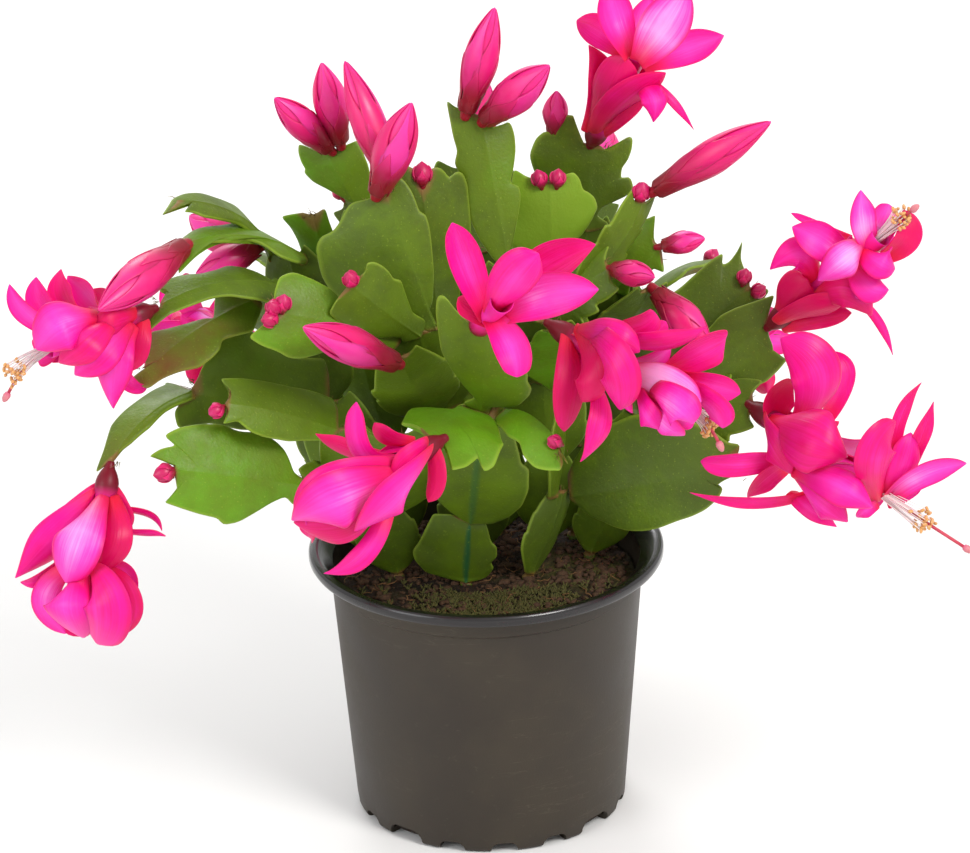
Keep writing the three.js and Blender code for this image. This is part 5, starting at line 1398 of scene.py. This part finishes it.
def ringed_petals(foot, axis, length, draw):
    """The rows of a far bloom's petals, in two rings."""
    across = axis.cross(UP).normalized()
    up = across.cross(axis)
    petals = []
    for count, share, middle_along, middle_out, tip_along, tip_out, width in RINGS:
        for i in range(count):
            out = around(across, up, (i + share + TURN_UNEVEN * draw()) / count * math.tau)
            root = foot + axis * (share * length)
            middle = root + axis * middle_along + out * middle_out
            along = tip_along + TIP_UNEVEN * (draw() - 0.5)
            reach = tip_out + TIP_UNEVEN * (draw() - 0.5)
            petals.append((root, middle, root + axis * along + out * reach, width))
    return petals


def ruled_petal(axis, row, shift, rng):
    """A petal of the rules, whose root lies on the tube."""
    centre, middle, tip, width = row
    outward = middle - centre
    outward = (outward - axis * outward.dot(axis)).normalized()
    root = centre * MM + outward * PETAL_ROOT + shift
    middle, tip = middle * MM + shift, tip * MM + shift
    outer = natural_outer(axis, root, tip)
    slim = rng.uniform(0.7, 1.0)
    return Petal(root, middle, tip, width * MM, outward, outer, slim, rng.uniform(0.1, 0.9))


def traced_petal(axis, row, shift):
    """A petal of the table, turned mostly to the viewer as it is seen."""
    root, middle, tip, width, side, slim, tone = row
    root, middle, tip = (point(spot) + shift for spot in (root, middle, tip))
    seen = TO_VIEWER * side
    outer = natural_outer(axis, root, tip)
    if outer.dot(seen) < 0:
        outer.negate()
    outer = (outer * (1 - FACING) + seen * FACING).normalized()
    return Petal(root, middle, tip, width * MM, outer, outer, slim, tone)


# The spare petals of each tier: from where to where on the tube the tier is, where they start, how far they
# reach out and how far along. FILL_TURN is the gap in a tier that they close.
SPARES = ((0.0, 0.6, 0.4, 10, -2), (0.6, 1.0, 0.84, 11, 6))
FILL_TURN = 1.15


def filled_out(petals, foot, axis, length, rng):
    """More petals, smaller ones, where a bloom's table leaves the far side of its tube bare."""
    across, up = axes_of(axis)
    extra = []
    for low, high, share, reach, back in SPARES:
        turns = []
        for row in petals:
            root, middle = Vector(row[0]), Vector(row[1])
            if low <= (root - foot).dot(axis) / length < high:
                leg = middle - root
                turns.append(math.atan2(leg.dot(up), leg.dot(across)) % math.tau)
        turns = sorted(turns) or [0.0]
        for a, b in zip(turns, turns[1:] + [turns[0] + math.tau]):
            wanted = round((b - a) / FILL_TURN) - 1
            for k in range(wanted):
                out = around(across, up, a + (b - a) * (k + 1) / (wanted + 1))
                if out.dot(TO_VIEWER) > -0.3:
                    continue
                root = foot + axis * (share * length)
                middle = root + axis * 5 + out * reach * 0.62
                tip = root + axis * (back + rng.uniform(-2, 2)) + out * (reach + rng.uniform(-1, 2))
                extra.append((root, middle, tip, rng.uniform(8, 11)))
    return extra


# Broad petals that overlap into the funnel of each tier: how many, where on the tube, how long, how far
# they open and how wide they are.
SHEATHS = ((5, 0.1, 19, 5.5, 12), (4, 0.55, 16, 5, 11))


def sheathed(foot, axis, length, rng, away_only):
    """The rows of a bloom's broad petals, all of them or only those on its far side."""
    across, up = axes_of(axis)
    made = []
    for count, share, reach, opening, width in SHEATHS:
        start = rng.uniform(0, ANY_TURN)
        for k in range(count):
            out = around(across, up, start + (k + rng.uniform(-0.2, 0.2)) * math.tau / count)
            if away_only and out.dot(TO_VIEWER) > 0.2:
                continue
            root = foot + axis * (share * length)
            open_now = opening * rng.uniform(0.8, 1.2)
            middle = root + axis * (reach * 0.5) + out * (2.1 + open_now * 0.45)
            tip = root + axis * (reach * rng.uniform(0.9, 1.1)) + out * (2.1 + open_now)
            made.append((root, middle, tip, width))
    return made


def tube_of(name):
    """A bloom's foot in millimetres, its axis, its length in millimetres and its shift in the frame."""
    foot = Vector(BLOOMS[name]["base"])
    axis = Vector(BLOOMS[name]["mouth"]) - foot
    length = axis.length
    axis.normalize()
    return foot, axis, length, axis * seated(name, foot * MM, axis)


def grow_bloom(mould, name, draw, rng, sizes):
    """An open bloom: its dark ovary and tube, then its petals in two tiers."""
    foot, axis, length, shift = tube_of(name)
    table = FINE_PETALS.get(name)
    open_throat = BLOOMS[name].get("open")
    rows = 16
    profile = [(0, -STALK), (1.5 * MM, -STALK), (1.7 * MM, -0.4 * MM)]
    profile += [(through(TUBE_STOPS, i / rows) * MM, i / rows * length * MM) for i in range(rows + 1)]
    profile += [(3.6 * MM, length * MM), (2.6 * MM, length * 0.8 * MM), (0, length * 0.72 * MM)]
    tube = mould.turned(profile, 20, standing(foot * MM + shift, axis), tone=0.4)
    for vertex in tube:
        along = (vertex.co - foot * MM - shift).dot(axis) / (length * MM)
        mould.mark(vertex, along=0.2 + 0.5 * along, blush=0.95 * (1 - smooth(0.12, 0.24, along)))
    ruled = [] if open_throat else sheathed(foot, axis, length, rng, table is not None)
    if table is None:
        ruled += ringed_petals(foot, axis, length, draw)
        petals = []
    else:
        ruled += [] if open_throat else filled_out(table, foot, axis, length, rng)
        petals = [traced_petal(axis, row, shift) for row in table]
    petals += [ruled_petal(axis, row, shift, rng) for row in ruled]
    for petal in petals:
        grow_petal(mould, petal, rng, sizes)


# Where in the tube the stamens start, as a share of its length.
SOCKET_FLOOR = 0.76
# How far the stamens reach past the mouth of each bloom that shows them, in millimetres.
STAMEN_REACH = {
  "bloom_left": 15, "bloom_centre_right": 9, "bloom_right_high": 12, "bloom_right_low": 20, "bloom_top": 10,
  "bloom_far_left": 10, "bloom_far_right": 10, "bloom_far": 10,
}
FILAMENTS = 34
# The stigma and an anther in millimetres, as (radius, height).
STIGMA = ((0, -0.8), (1.0, -0.2), (1.3, 0.8), (1.05, 2.1), (0.5, 3.0), (0, 3.2))
ANTHER = ((0, -1.0), (0.5, -0.6), (0.62, 0.1), (0.4, 0.8), (0, 1.05))


def grow_stamens(mould, name, rng):
    """A loose brush of filaments with anthers round a crimson style with its stigma."""
    foot, axis, length, shift = tube_of(name)
    across, up = axes_of(axis)
    reach = STAMEN_REACH[name]
    style_tip = Vector(BLOOMS[name].get("pistil") or foot + axis * (length + reach + 3))
    lean = style_tip - (foot + axis * length)
    lean = (lean.normalized() * 0.8 + axis * 0.5).normalized()

    def curve(start, bend, end, steps=6):
        spots = []
        for i in range(steps + 1):
            t = i / steps
            spots.append((start * (1 - t) ** 2 + bend * 2 * t * (1 - t) + end * t * t) * MM + shift)
        return spots

    for k in range(FILAMENTS):
        out = around(across, up, math.tau * (k + rng.uniform(-0.3, 0.3)) / FILAMENTS)
        inner = foot + axis * (length * (SOCKET_FLOOR + 0.04)) + out * rng.uniform(0.4, 1.0)
        mouth = foot + axis * (length + 4) + out * rng.uniform(1.0, 1.8)
        end = foot + axis * length + lean * (reach * rng.uniform(0.7, 1.05)) + out * rng.uniform(1.2, 4.4)
        path = curve(inner, mouth, end)
        mould.strand(path, [0.16 * MM] * len(path), 4, tone=0.0, blush=0.0)
        grow_anther(mould, path[-1], (path[-1] - path[-2]).normalized(), rng)
    inner = foot + axis * (length * (SOCKET_FLOOR + 0.03))
    path = curve(inner, foot + axis * (length + 7), style_tip, 9)
    mould.strand(path, [0.55 * MM] * len(path), 6, tone=0.0, blush=0.95)
    place = standing(path[-1], (path[-1] - path[-2]).normalized())
    mould.turned(in_metres(STIGMA), 8, place, tone=0.0, blush=0.75)


def grow_anther(mould, spot, ahead, rng):
    """A small bean of pollen across a filament's end."""
    across, up = axes_of(ahead)
    lie = (around(across, up, rng.uniform(0, ANY_TURN)) + ahead * 0.7).normalized()
    mould.turned(in_metres(ANTHER), 6, standing(spot, lie), tone=1.0, blush=0.0)


# The pot and its soil --------


def pot_profile():
    """The pot's half section, closed on the axis, with small rounds where the plastic turns."""
    foot, band, rim = POT_FOOT_RADIUS, POT_BAND_RADIUS, POT_RIM_RADIUS
    step, top = POT_BAND_FOOT, POT_HEIGHT
    wall = band - 1.4
    outside = [(0, 0), (foot - 3, 0), (foot - 1.5, 0.1), (foot - 0.5, 0.6), (foot, 1.5)]
    steps = 10
    for i in range(1, steps + 1):
        share = i / steps
        outside.append((foot + (wall - foot) * share, 1.5 + (step - 2 - 1.5) * share))
    outside += [(wall + 0.1, step), (wall + 0.6, step + 0.5), (band - 0.1, step + 1), (band, step + 1.6)]
    outside += [(band, top - 5.2), (band + 0.3, top - 4.6), (rim - 1.6, top - 3.9), (rim - 0.5, top - 3.5)]
    outside += [(rim, top - 2.6), (rim, top - 1.1), (rim - 0.25, top - 0.4), (rim - 0.8, top)]
    inside = [(rim - 2.2, top), (rim - 3.2, top - 0.2), (rim - 4.2, top - 0.9), (rim - 5.4, top - 1.8)]
    inside += [(band - 1.8, top - 4), (band - 2.6, SOIL_TOP - 1), (band - 3, step - 1)]
    inside += [(foot - POT_WALL, POT_FLOOR), (0, POT_FLOOR)]
    return in_metres(outside + inside)


def notch_cutter(name, cuts):
    """One object that holds the shapes of all the drain notches, to be taken out of the pot's foot."""
    whole = bmesh.new()
    mesh = bpy.data.meshes.new(name)
    for turn, (width, height) in cuts:
        one = bmesh.new()
        made = bmesh.ops.create_cube(one, size=1)["verts"]
        bmesh.ops.scale(one, verts=made, vec=(NOTCH_DEPTH * MM, width * MM, 2 * height * MM))
        radial = [edge for edge in one.edges if abs(edge.verts[0].co.x - edge.verts[1].co.x) > 0.001]
        tops = [edge for edge in radial if edge.verts[0].co.z > 0]
        bmesh.ops.bevel(
            one, geom=tops, offset=height * 0.8 * MM, offset_type="OFFSET", segments=6, profile=0.5,
            affect="EDGES", material=-1,
        )
        spot = Matrix.Rotation(turn, 4, "Z") @ Matrix.Translation(((POT_FOOT_RADIUS - 1) * MM, 0, 0))
        bmesh.ops.transform(one, matrix=spot, verts=one.verts)
        one.to_mesh(mesh)
        one.free()
        whole.from_mesh(mesh)
    whole.to_mesh(mesh)
    whole.free()
    return linked(name, mesh)


SHARP_FROM = math.radians(35)


def cut_and_keep(target, cutter):
    """Takes the cutter out of the target for good and removes the cutter."""
    cut = target.modifiers.new("Notches", "BOOLEAN")
    cut.operation = "DIFFERENCE"
    cut.solver = "EXACT"
    cut.object = cutter
    graph = bpy.context.evaluated_depsgraph_get()
    done = bpy.data.meshes.new_from_object(target.evaluated_get(graph))
    target.modifiers.clear()
    old = target.data
    target.data = done
    bpy.data.meshes.remove(old)
    used = cutter.data
    bpy.data.objects.remove(cutter)
    bpy.data.meshes.remove(used)
    bm = bmesh.new()
    bm.from_mesh(done)
    bmesh.ops.remove_doubles(bm, verts=bm.verts, dist=1e-6)
    bmesh.ops.recalc_face_normals(bm, faces=bm.faces)
    bm.to_mesh(done)
    bm.free()
    done.shade_smooth()
    done.set_sharp_from_angle(angle=SHARP_FROM)


def soil_height(x, y):
    """Uneven ground: a low mound in the middle that falls to the wall."""
    reach = math.hypot(x, y) / (50 * MM)
    height = SOIL_TOP * MM - 2.4 * MM * reach**3
    height += noise.fractal(Vector((x * 90, y * 90, 3)), 1.0, 2.0, 4) * 1.5 * MM * (1 - 0.35 * reach)
    return height


def grow_soil(mould):
    """The soil's body: a turned block with a lumpy top inside the pot's wall."""
    profile = [(0, POT_FLOOR + 0.4), (POT_FOOT_RADIUS - POT_WALL - 0.6, POT_FLOOR + 0.4)]
    edge = SOIL_REACH
    profile += [(edge - 0.4, SOIL_TOP - 5), (edge, SOIL_TOP - 2.6)]
    profile += [(edge * (1 - i / SOIL_RINGS), SOIL_TOP) for i in range(1, SOIL_RINGS + 1)]
    for vertex in mould.turned(in_metres(profile), SOIL_SIDES, tone=0.5, blush=0.0):
        x, y, z = vertex.co
        if z < (SOIL_TOP - 3) * MM:
            continue
        reach = math.hypot(x, y)
        if reach < (edge + 0.1) * MM:
            top = soil_height(x, y)
            crumb = noise.noise(Vector((x * 420, y * 420, 1))) * 0.7 * MM
            vertex.co.z = min(top + crumb, z + 2 * MM) if reach < (edge - 0.5) * MM else top
            vertex.co.z = min(vertex.co.z, SOIL_PEAK * MM)
        mossy = smooth(-20 * MM, -40 * MM, y) * (1 - smooth(0, 40 * MM, abs(x)))
        mould.mark(vertex, blush=mossy)


def strewn(rng, edge):
    """A random spot on the ground, even over the disc."""
    reach = edge * math.sqrt(rng.random())
    turn = rng.uniform(0, math.tau)
    return reach * math.cos(turn), reach * math.sin(turn)


def grow_scraps(mould, rng, sizes):
    """Crumbs of bark and straw fibres that lie on the soil."""
    edge = SCRAPS_REACH * MM
    for _ in range(sizes.crumbs):
        x, y = strewn(rng, edge)
        size = rng.uniform(0.4, 1.7) ** 1.3 * MM
        mould.room()
        rock = bmesh.ops.create_icosphere(mould.bm, subdivisions=1, radius=1)["verts"]
        sides = [rng.uniform(low, high) * size for low, high in ((0.7, 1.5), (0.5, 1), (0.4, 0.8))]
        shape = Matrix.Diagonal((*sides, 1))
        spin = Matrix.Rotation(rng.uniform(0, ANY_TURN), 4, "Z")
        spin = spin @ Matrix.Rotation(rng.uniform(-0.6, 0.6), 4, "X")
        place = Matrix.Translation((x, y, soil_height(x, y) + size * 0.2)) @ spin @ shape
        for vertex in rock:
            vertex.co *= rng.uniform(0.75, 1.15)
            mould.mark(vertex, along=0.5, across=0, tone=rng.uniform(0.0, 0.25), blush=0)
        bmesh.ops.transform(mould.bm, matrix=place, verts=rock)
    for _ in range(sizes.fibres):
        x, y = strewn(rng, edge * 0.96)
        way = rng.uniform(0, ANY_TURN)
        length = rng.uniform(3, 9) * MM
        path = []
        for i in range(5):
            px, py = x + math.cos(way) * length * i / 4, y + math.sin(way) * length * i / 4
            if math.hypot(px, py) > edge * 1.02:
                px, py = (value * edge / math.hypot(px, py) for value in (px, py))
            way += rng.uniform(-0.5, 0.5)
            path.append(Vector((px, py, soil_height(px, py) + (0.7 + rng.uniform(0, 0.9)) * MM)))
        if (path[1] - path[0]).length < 0.3 * MM:
            continue
        radius = rng.uniform(0.08, 0.18) * MM
        mould.strand(path, [radius] * 4 + [radius * 0.4], 4, tone=rng.uniform(0.4, 0.6), blush=0)


MOSS_RADII = (0.42 * MM, 0.34 * MM, 0.08 * MM)


def grow_moss(mould, rng):
    """Small tufts of moss at the front: short pointed leaves in loose rosettes."""
    for _ in range(MOSS_TUFTS):
        turn = math.radians(rng.gauss(-84, 30))
        reach = rng.uniform(22, 46) * MM
        x, y = reach * math.cos(turn), reach * math.sin(turn)
        ground = soil_height(x, y)
        for _ in range(MOSS_LEAVES):
            lean = rng.uniform(0, ANY_TURN)
            out = Vector((math.cos(lean), math.sin(lean), rng.uniform(0.7, 1.8))).normalized()
            height = rng.uniform(1.2, 2.8) * MM
            root = Vector((x, y, ground - 0.2 * MM))
            path = [root, root + out * height * 0.6, root + out * height]
            mould.strand(path, MOSS_RADII, 3, tone=rng.uniform(0.8, 1.0), blush=0)


# What a user can change --------


def colour(name, description, value):
    return bpy.props.FloatVectorProperty(
        name=name, description=description, subtype="COLOR", size=3, min=0, max=1, default=value
    )


class CactusColours(bpy.types.PropertyGroup):
    leaf: colour("Leaf", "Middle green of the segments", (0.104, 0.176, 0.006))
    leaf_dark: colour("Leaf, dark", "Shaded and oldest green", (0.072, 0.115, 0.01))
    leaf_fresh: colour("Leaf, fresh", "Bright young green", (0.115, 0.28, 0.007))
    leaf_rim: colour("Leaf rim", "Thin pale margin of a segment", (0.27, 0.38, 0.035))
    rib: colour("Midrib", "Dark line down the oldest segments", (0.01, 0.09, 0.035))
    blush: colour("Blush", "Red that strong light brings out", (0.17, 0.032, 0.022))
    cork: colour("Cork", "Woody joints and necks", (0.22, 0.105, 0.035))
    bristle: colour("Bristles", "Dry hairs at the segment tips", (0.16, 0.06, 0.022))
    petal: colour("Petal", "Hot magenta of the petals", (0.8, 0.004, 0.27))
    petal_deep: colour("Petal, deep", "Shaded crimson pink", (0.62, 0.001, 0.1))
    # On the petals this violet pink is partly a painted highlight down their middle; on buds and filaments it
    # is their own colour.
    petal_glow: colour("Petal, glow", "Violet pink down the middle", (0.9, 0.085, 0.62))
    # An almost white painted highlight on the middle of the lightest petals, not a throat colour.
    petal_painted_highlight: colour("Petal, pale", "Almost white throat of the palest petals", (0.95, 0.42, 0.76))
    petal_rim: colour("Petal rim", "Crimson edges", (0.7, 0.003, 0.08))
    petal_root: colour("Petal root", "Red at the petal's foot", (0.74, 0.014, 0.036))
    ovary: colour("Ovary", "Dark red-brown foot of a bloom", (0.13, 0.006, 0.01))
    bud: colour("Bud", "Pink of the closed buds", (0.72, 0.005, 0.15))
    bud_foot: colour("Bud foot", "Crimson scales at a bud's foot", (0.3, 0.002, 0.016))
    filament: colour("Filament", "White of the stamens", (0.85, 0.72, 0.72))
    style: colour("Style", "Crimson of the style and its stigma", (0.48, 0.002, 0.04))
    anther: colour("Anther", "Tan pollen", (0.62, 0.3, 0.08))
    pot: colour("Pot", "Grey-brown plastic", (0.026, 0.0192, 0.0128))
    pot_warm: colour("Pot, warm", "Olive brown where light falls on the plastic", (0.037, 0.028, 0.0175))
    pot_rim: colour("Pot rim", "Darker glossy rim", (0.0065, 0.005, 0.0065))
    pot_dust: colour("Pot dust", "Dust and scratches", (0.15, 0.125, 0.09))
    peat: colour("Peat", "Middle brown of the soil", (0.034, 0.018, 0.009))
    peat_dark: colour("Peat, dark", "Damp crumbs", (0.01, 0.006, 0.004))
    peat_rust: colour("Peat, rust", "Rusty bark", (0.11, 0.048, 0.016))
    straw: colour("Straw", "Dry fibres and roots", (0.19, 0.09, 0.03))
    moss: colour("Moss", "Green tufts", (0.125, 0.115, 0.02))
    moss_dark: colour("Moss, dark", "Olive moss patches", (0.04, 0.038, 0.009))
    floor: colour("Floor", "Plain pale ground", (0.8, 0.8, 0.79))


def thickness(name, description, value):
    return bpy.props.FloatProperty(
        name=name, description=description, unit="LENGTH", min=0, default=value, precision=5
    )


class CactusSizes(bpy.types.PropertyGroup):
    leaf_thickness: thickness("Leaf thickness", "Thickness of a segment beside its midrib", 0.002)
    petal_thickness: thickness("Petal thickness", "Thickness of a petal in its middle", 0.00062)
    leaf_cup: bpy.props.FloatProperty(
        name="Leaf cup", description="How far a segment's edges bend back", min=0, max=0.5, default=0.12
    )
    petal_cup: bpy.props.FloatProperty(
        name="Petal cup", description="How far a petal's edges fold back", min=0, max=0.5, default=0.13
    )
    crumbs: bpy.props.IntProperty(name="Crumbs", description="Bits of bark on the soil", min=0, default=1400)
    fibres: bpy.props.IntProperty(name="Fibres", description="Straw fibres on the soil", min=0, default=80)


def sizes():
    return bpy.context.scene.cactus_sizes


def colours():
    return bpy.context.scene.cactus_colours


def finish(name, recipe):
    """The named material, made the first time that it is asked for."""
    return bpy.data.materials.get(name) or recipe(colours())


# One operator for each piece or group of like pieces --------


class CactusOperator:
    bl_options = {"REGISTER", "UNDO"}


class MakePot(CactusOperator, bpy.types.Operator):
    """Thin moulded nursery pot with a rolled rim and drain notches round its foot"""

    bl_idname = "cactus.pot"
    bl_label = "Pot"

    def execute(self, context):
        mould = Mould()
        mould.turned(pot_profile(), POT_SIDES, tone=0.5, blush=0.0)
        pot = mould.piece("nursery_pot", finish("Pot_Plastic", pot_finish), nodes=("pot",))
        cuts = []
        for k in range(NOTCHES):
            wide = k % NOTCHES_IN_SET == 0
            cuts.append((FIRST_NOTCH + k * math.tau / NOTCHES, WIDE_NOTCH if wide else SMALL_NOTCH))
        cut_and_keep(pot, notch_cutter("notch_cutter", cuts))
        return {"FINISHED"}


class MakeSoil(CactusOperator, bpy.types.Operator):
    """Peat with a lumpy top, bark crumbs, straw fibres and tufts of moss"""

    bl_idname = "cactus.soil"
    bl_label = "Soil"

    def execute(self, context):
        rng = random.Random(SOIL_SEED)
        mould = Mould()
        grow_soil(mould)
        mould.piece("peat", finish("Peat", soil_finish), nodes=("soil",))
        mould = Mould()
        grow_scraps(mould, rng, sizes())
        grow_moss(mould, rng)
        mould.piece("soil_scraps", finish("Soil_Scraps", scrap_finish))
        return {"FINISHED"}


class MakeStems(CactusOperator, bpy.types.Operator):
    """Flat toothed segments in chains, one piece for each stem that rises from the soil"""

    bl_idname = "cactus.stems"
    bl_label = "Stems"

    def execute(self, context):
        leaf = finish("Leaf_Skin", leaf_finish)
        hairs = Mould()
        for name, segments in STEMS.items():
            rng = random.Random(name)
            mould = Mould()
            for step in segments:
                hollow = grow_segment(mould, step, segments, rng, sizes())
                grow_bristles(hairs, hollow, rng, rng.choice(HAIR_COUNTS))
            root = point(JOINTS[segments[0][0]])
            path = [Vector((root.x, root.y, (SOIL_TOP - ROOT_DEPTH) * MM)), root + UP * MM]
            mould.strand(path, ROOT_RADII, 10, tone=0.2, blush=0)
            mould.piece(name + "_fine", leaf, levels=1, nodes=(name,))
        hairs.piece("bristles", finish("Bristle", bristle_finish))
        return {"FINISHED"}


class MakeSmallBuds(CactusOperator, bpy.types.Operator):
    """Round buds on the segments' tips"""

    bl_idname = "cactus.small_buds"
    bl_label = "Small buds"

    def execute(self, context):
        rng = random.Random(SMALL_BUD_SEED)
        mould = Mould()
        for base, tip, radius in SMALL_BUDS:
            grow_small_bud(mould, point(base), point(tip), radius * MM, rng)
        mould.piece("small_buds", finish("Bud_Skin", bud_finish), levels=1)
        return {"FINISHED"}


class MakeBuds(CactusOperator, bpy.types.Operator):
    """Large pointed buds with their wrapped petals and scales"""

    bl_idname = "cactus.buds"
    bl_label = "Buds"

    def execute(self, context):
        for name, (base, tip, radius) in BUDS.items():
            rng = random.Random(name)
            foot = point(base)
            axis = (point(tip) - foot).normalized()
            shift = axis * seated(name, foot, axis)
            mould = Mould()
            grow_bud(mould, foot + shift, point(tip) + shift, radius * MM, rng)
            mould.piece(name + "_fine", finish("Bud_Skin", bud_finish), levels=1, nodes=(name,))
        return {"FINISHED"}


class MakeBlooms(CactusOperator, bpy.types.Operator):
    """Open blooms: an ovary, a tube and two tiers of thin petals"""

    bl_idname = "cactus.blooms"
    bl_label = "Blooms"

    def execute(self, context):
        draw = EvenDraw()
        skin = finish("Petal_Skin", petal_finish)
        for name in BLOOMS:
            mould = Mould()
            grow_bloom(mould, name, draw, random.Random(name), sizes())
            mould.piece(name + "_fine", skin, levels=1, nodes=(name,))
        return {"FINISHED"}


class MakeStamens(CactusOperator, bpy.types.Operator):
    """Brushes of filaments with anthers, and the crimson styles"""

    bl_idname = "cactus.stamens"
    bl_label = "Stamens"

    def execute(self, context):
        for name in STAMEN_REACH:
            mould = Mould()
            grow_stamens(mould, name, random.Random(name + "_stamens"))
            node = name.replace("bloom", "stamens")
            nodes = (node,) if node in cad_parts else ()
            mould.piece(node + "_fine", finish("Stamen_Silk", stamen_finish), nodes=nodes)
        return {"FINISHED"}


class MakeStage(CactusOperator, bpy.types.Operator):
    """Plain pale floor, soft studio lights and the camera of the photograph"""

    bl_idname = "cactus.stage"
    bl_label = "Stage"

    def execute(self, context):
        scene = context.scene
        bm = bmesh.new()
        bmesh.ops.create_grid(bm, x_segments=1, y_segments=1, size=FLOOR_REACH)
        mesh = bpy.data.meshes.new("floor")
        bm.to_mesh(mesh)
        bm.free()
        mesh.materials.append(stage_finish("Floor_Paper", colours().floor, 3.0))
        floor = linked("floor", mesh)
        for name, spot, size, power, tint in LIGHTS:
            lamp = bpy.data.lights.new(name, "AREA")
            lamp.shape = "DISK"
            lamp.size = size
            lamp.energy = power
            lamp.color = tint
            made = linked(name, lamp)
            made.location = spot
            made.rotation_euler = (LIGHTS_AIM - Vector(spot)).to_track_quat("-Z", "Y").to_euler()
        world = bpy.data.worlds.new("studio")
        world.use_nodes = True
        back = next(node for node in world.node_tree.nodes if node.type == "BACKGROUND")
        back.inputs["Color"].default_value = (1, 1, 1, 1)
        back.inputs["Strength"].default_value = WORLD_LIGHT
        scene.world = world
        view = bpy.data.cameras.new("camera")
        view.sensor_width = CAMERA_SENSOR
        view.lens = CAMERA_LENS
        view.clip_end = CAMERA_FAR
        camera = linked("camera", view)
        roll = Matrix.Rotation(CAMERA_ROLL, 4, "Z")
        aim = Matrix.Rotation(math.radians(90) - CAMERA_PITCH, 4, "X")
        camera.matrix_world = Matrix.Translation(CAMERA_SPOT) @ aim @ roll
        scene.camera = camera
        scene.view_settings.view_transform = "Standard"
        return {"FINISHED"}


# Each light: its name, place, width, power in watts and colour.
LIGHTS = (
    ("key", (0.8, -0.9, 1.2), 0.6, 17, (1.0, 0.985, 0.96)),
    ("fill", (-1.2, -0.9, 0.7), 1.0, 9, (0.95, 0.975, 1.0)),
    ("back", (-0.3, 1.2, 1.1), 0.8, 9, (1.0, 1.0, 1.0)),
)
LIGHTS_AIM = Vector((0, 0, 0.14))
WORLD_LIGHT = 0.84
FLOOR_REACH = 4
CAMERA_SENSOR = 36
CAMERA_LENS = 197.63
CAMERA_FAR = 20
CAMERA_PITCH = math.radians(23.15)
CAMERA_ROLL = math.radians(-1.3)
CAMERA_SPOT = (0.00055, -1.6392, 0.8376)


OPERATORS = (
    MakePot, MakeSoil, MakeStems, MakeSmallBuds, MakeBuds, MakeBlooms, MakeStamens, MakeStage,
)


class CactusPanel(bpy.types.Panel):
    bl_idname = "VIEW3D_PT_cactus"
    bl_label = "Potted Christmas Cactus"
    bl_space_type = "VIEW_3D"
    bl_region_type = "UI"
    bl_category = "Cactus"

    def draw(self, context):
        for operator in OPERATORS:
            self.layout.operator(operator.bl_idname)
        for group in (context.scene.cactus_sizes, context.scene.cactus_colours):
            box = self.layout.box()
            for name in group.__annotations__:
                box.prop(group, name)


CLASSES = (CactusColours, CactusSizes, *OPERATORS, CactusPanel)


def register():
    for kind in CLASSES:
        bpy.utils.register_class(kind)
    bpy.types.Scene.cactus_sizes = bpy.props.PointerProperty(type=CactusSizes)
    bpy.types.Scene.cactus_colours = bpy.props.PointerProperty(type=CactusColours)


def unregister():
    del bpy.types.Scene.cactus_colours
    del bpy.types.Scene.cactus_sizes
    for kind in reversed(CLASSES):
        bpy.utils.unregister_class(kind)


def main():
    register()
    bpy.ops.cactus.pot()
    bpy.ops.cactus.soil()
    bpy.ops.cactus.stems()
    bpy.ops.cactus.small_buds()
    bpy.ops.cactus.buds()
    bpy.ops.cactus.blooms()
    bpy.ops.cactus.stamens()
    bpy.ops.cactus.stage()
    bpy.context.view_layer.update()


if __name__ == "__main__":
    main()
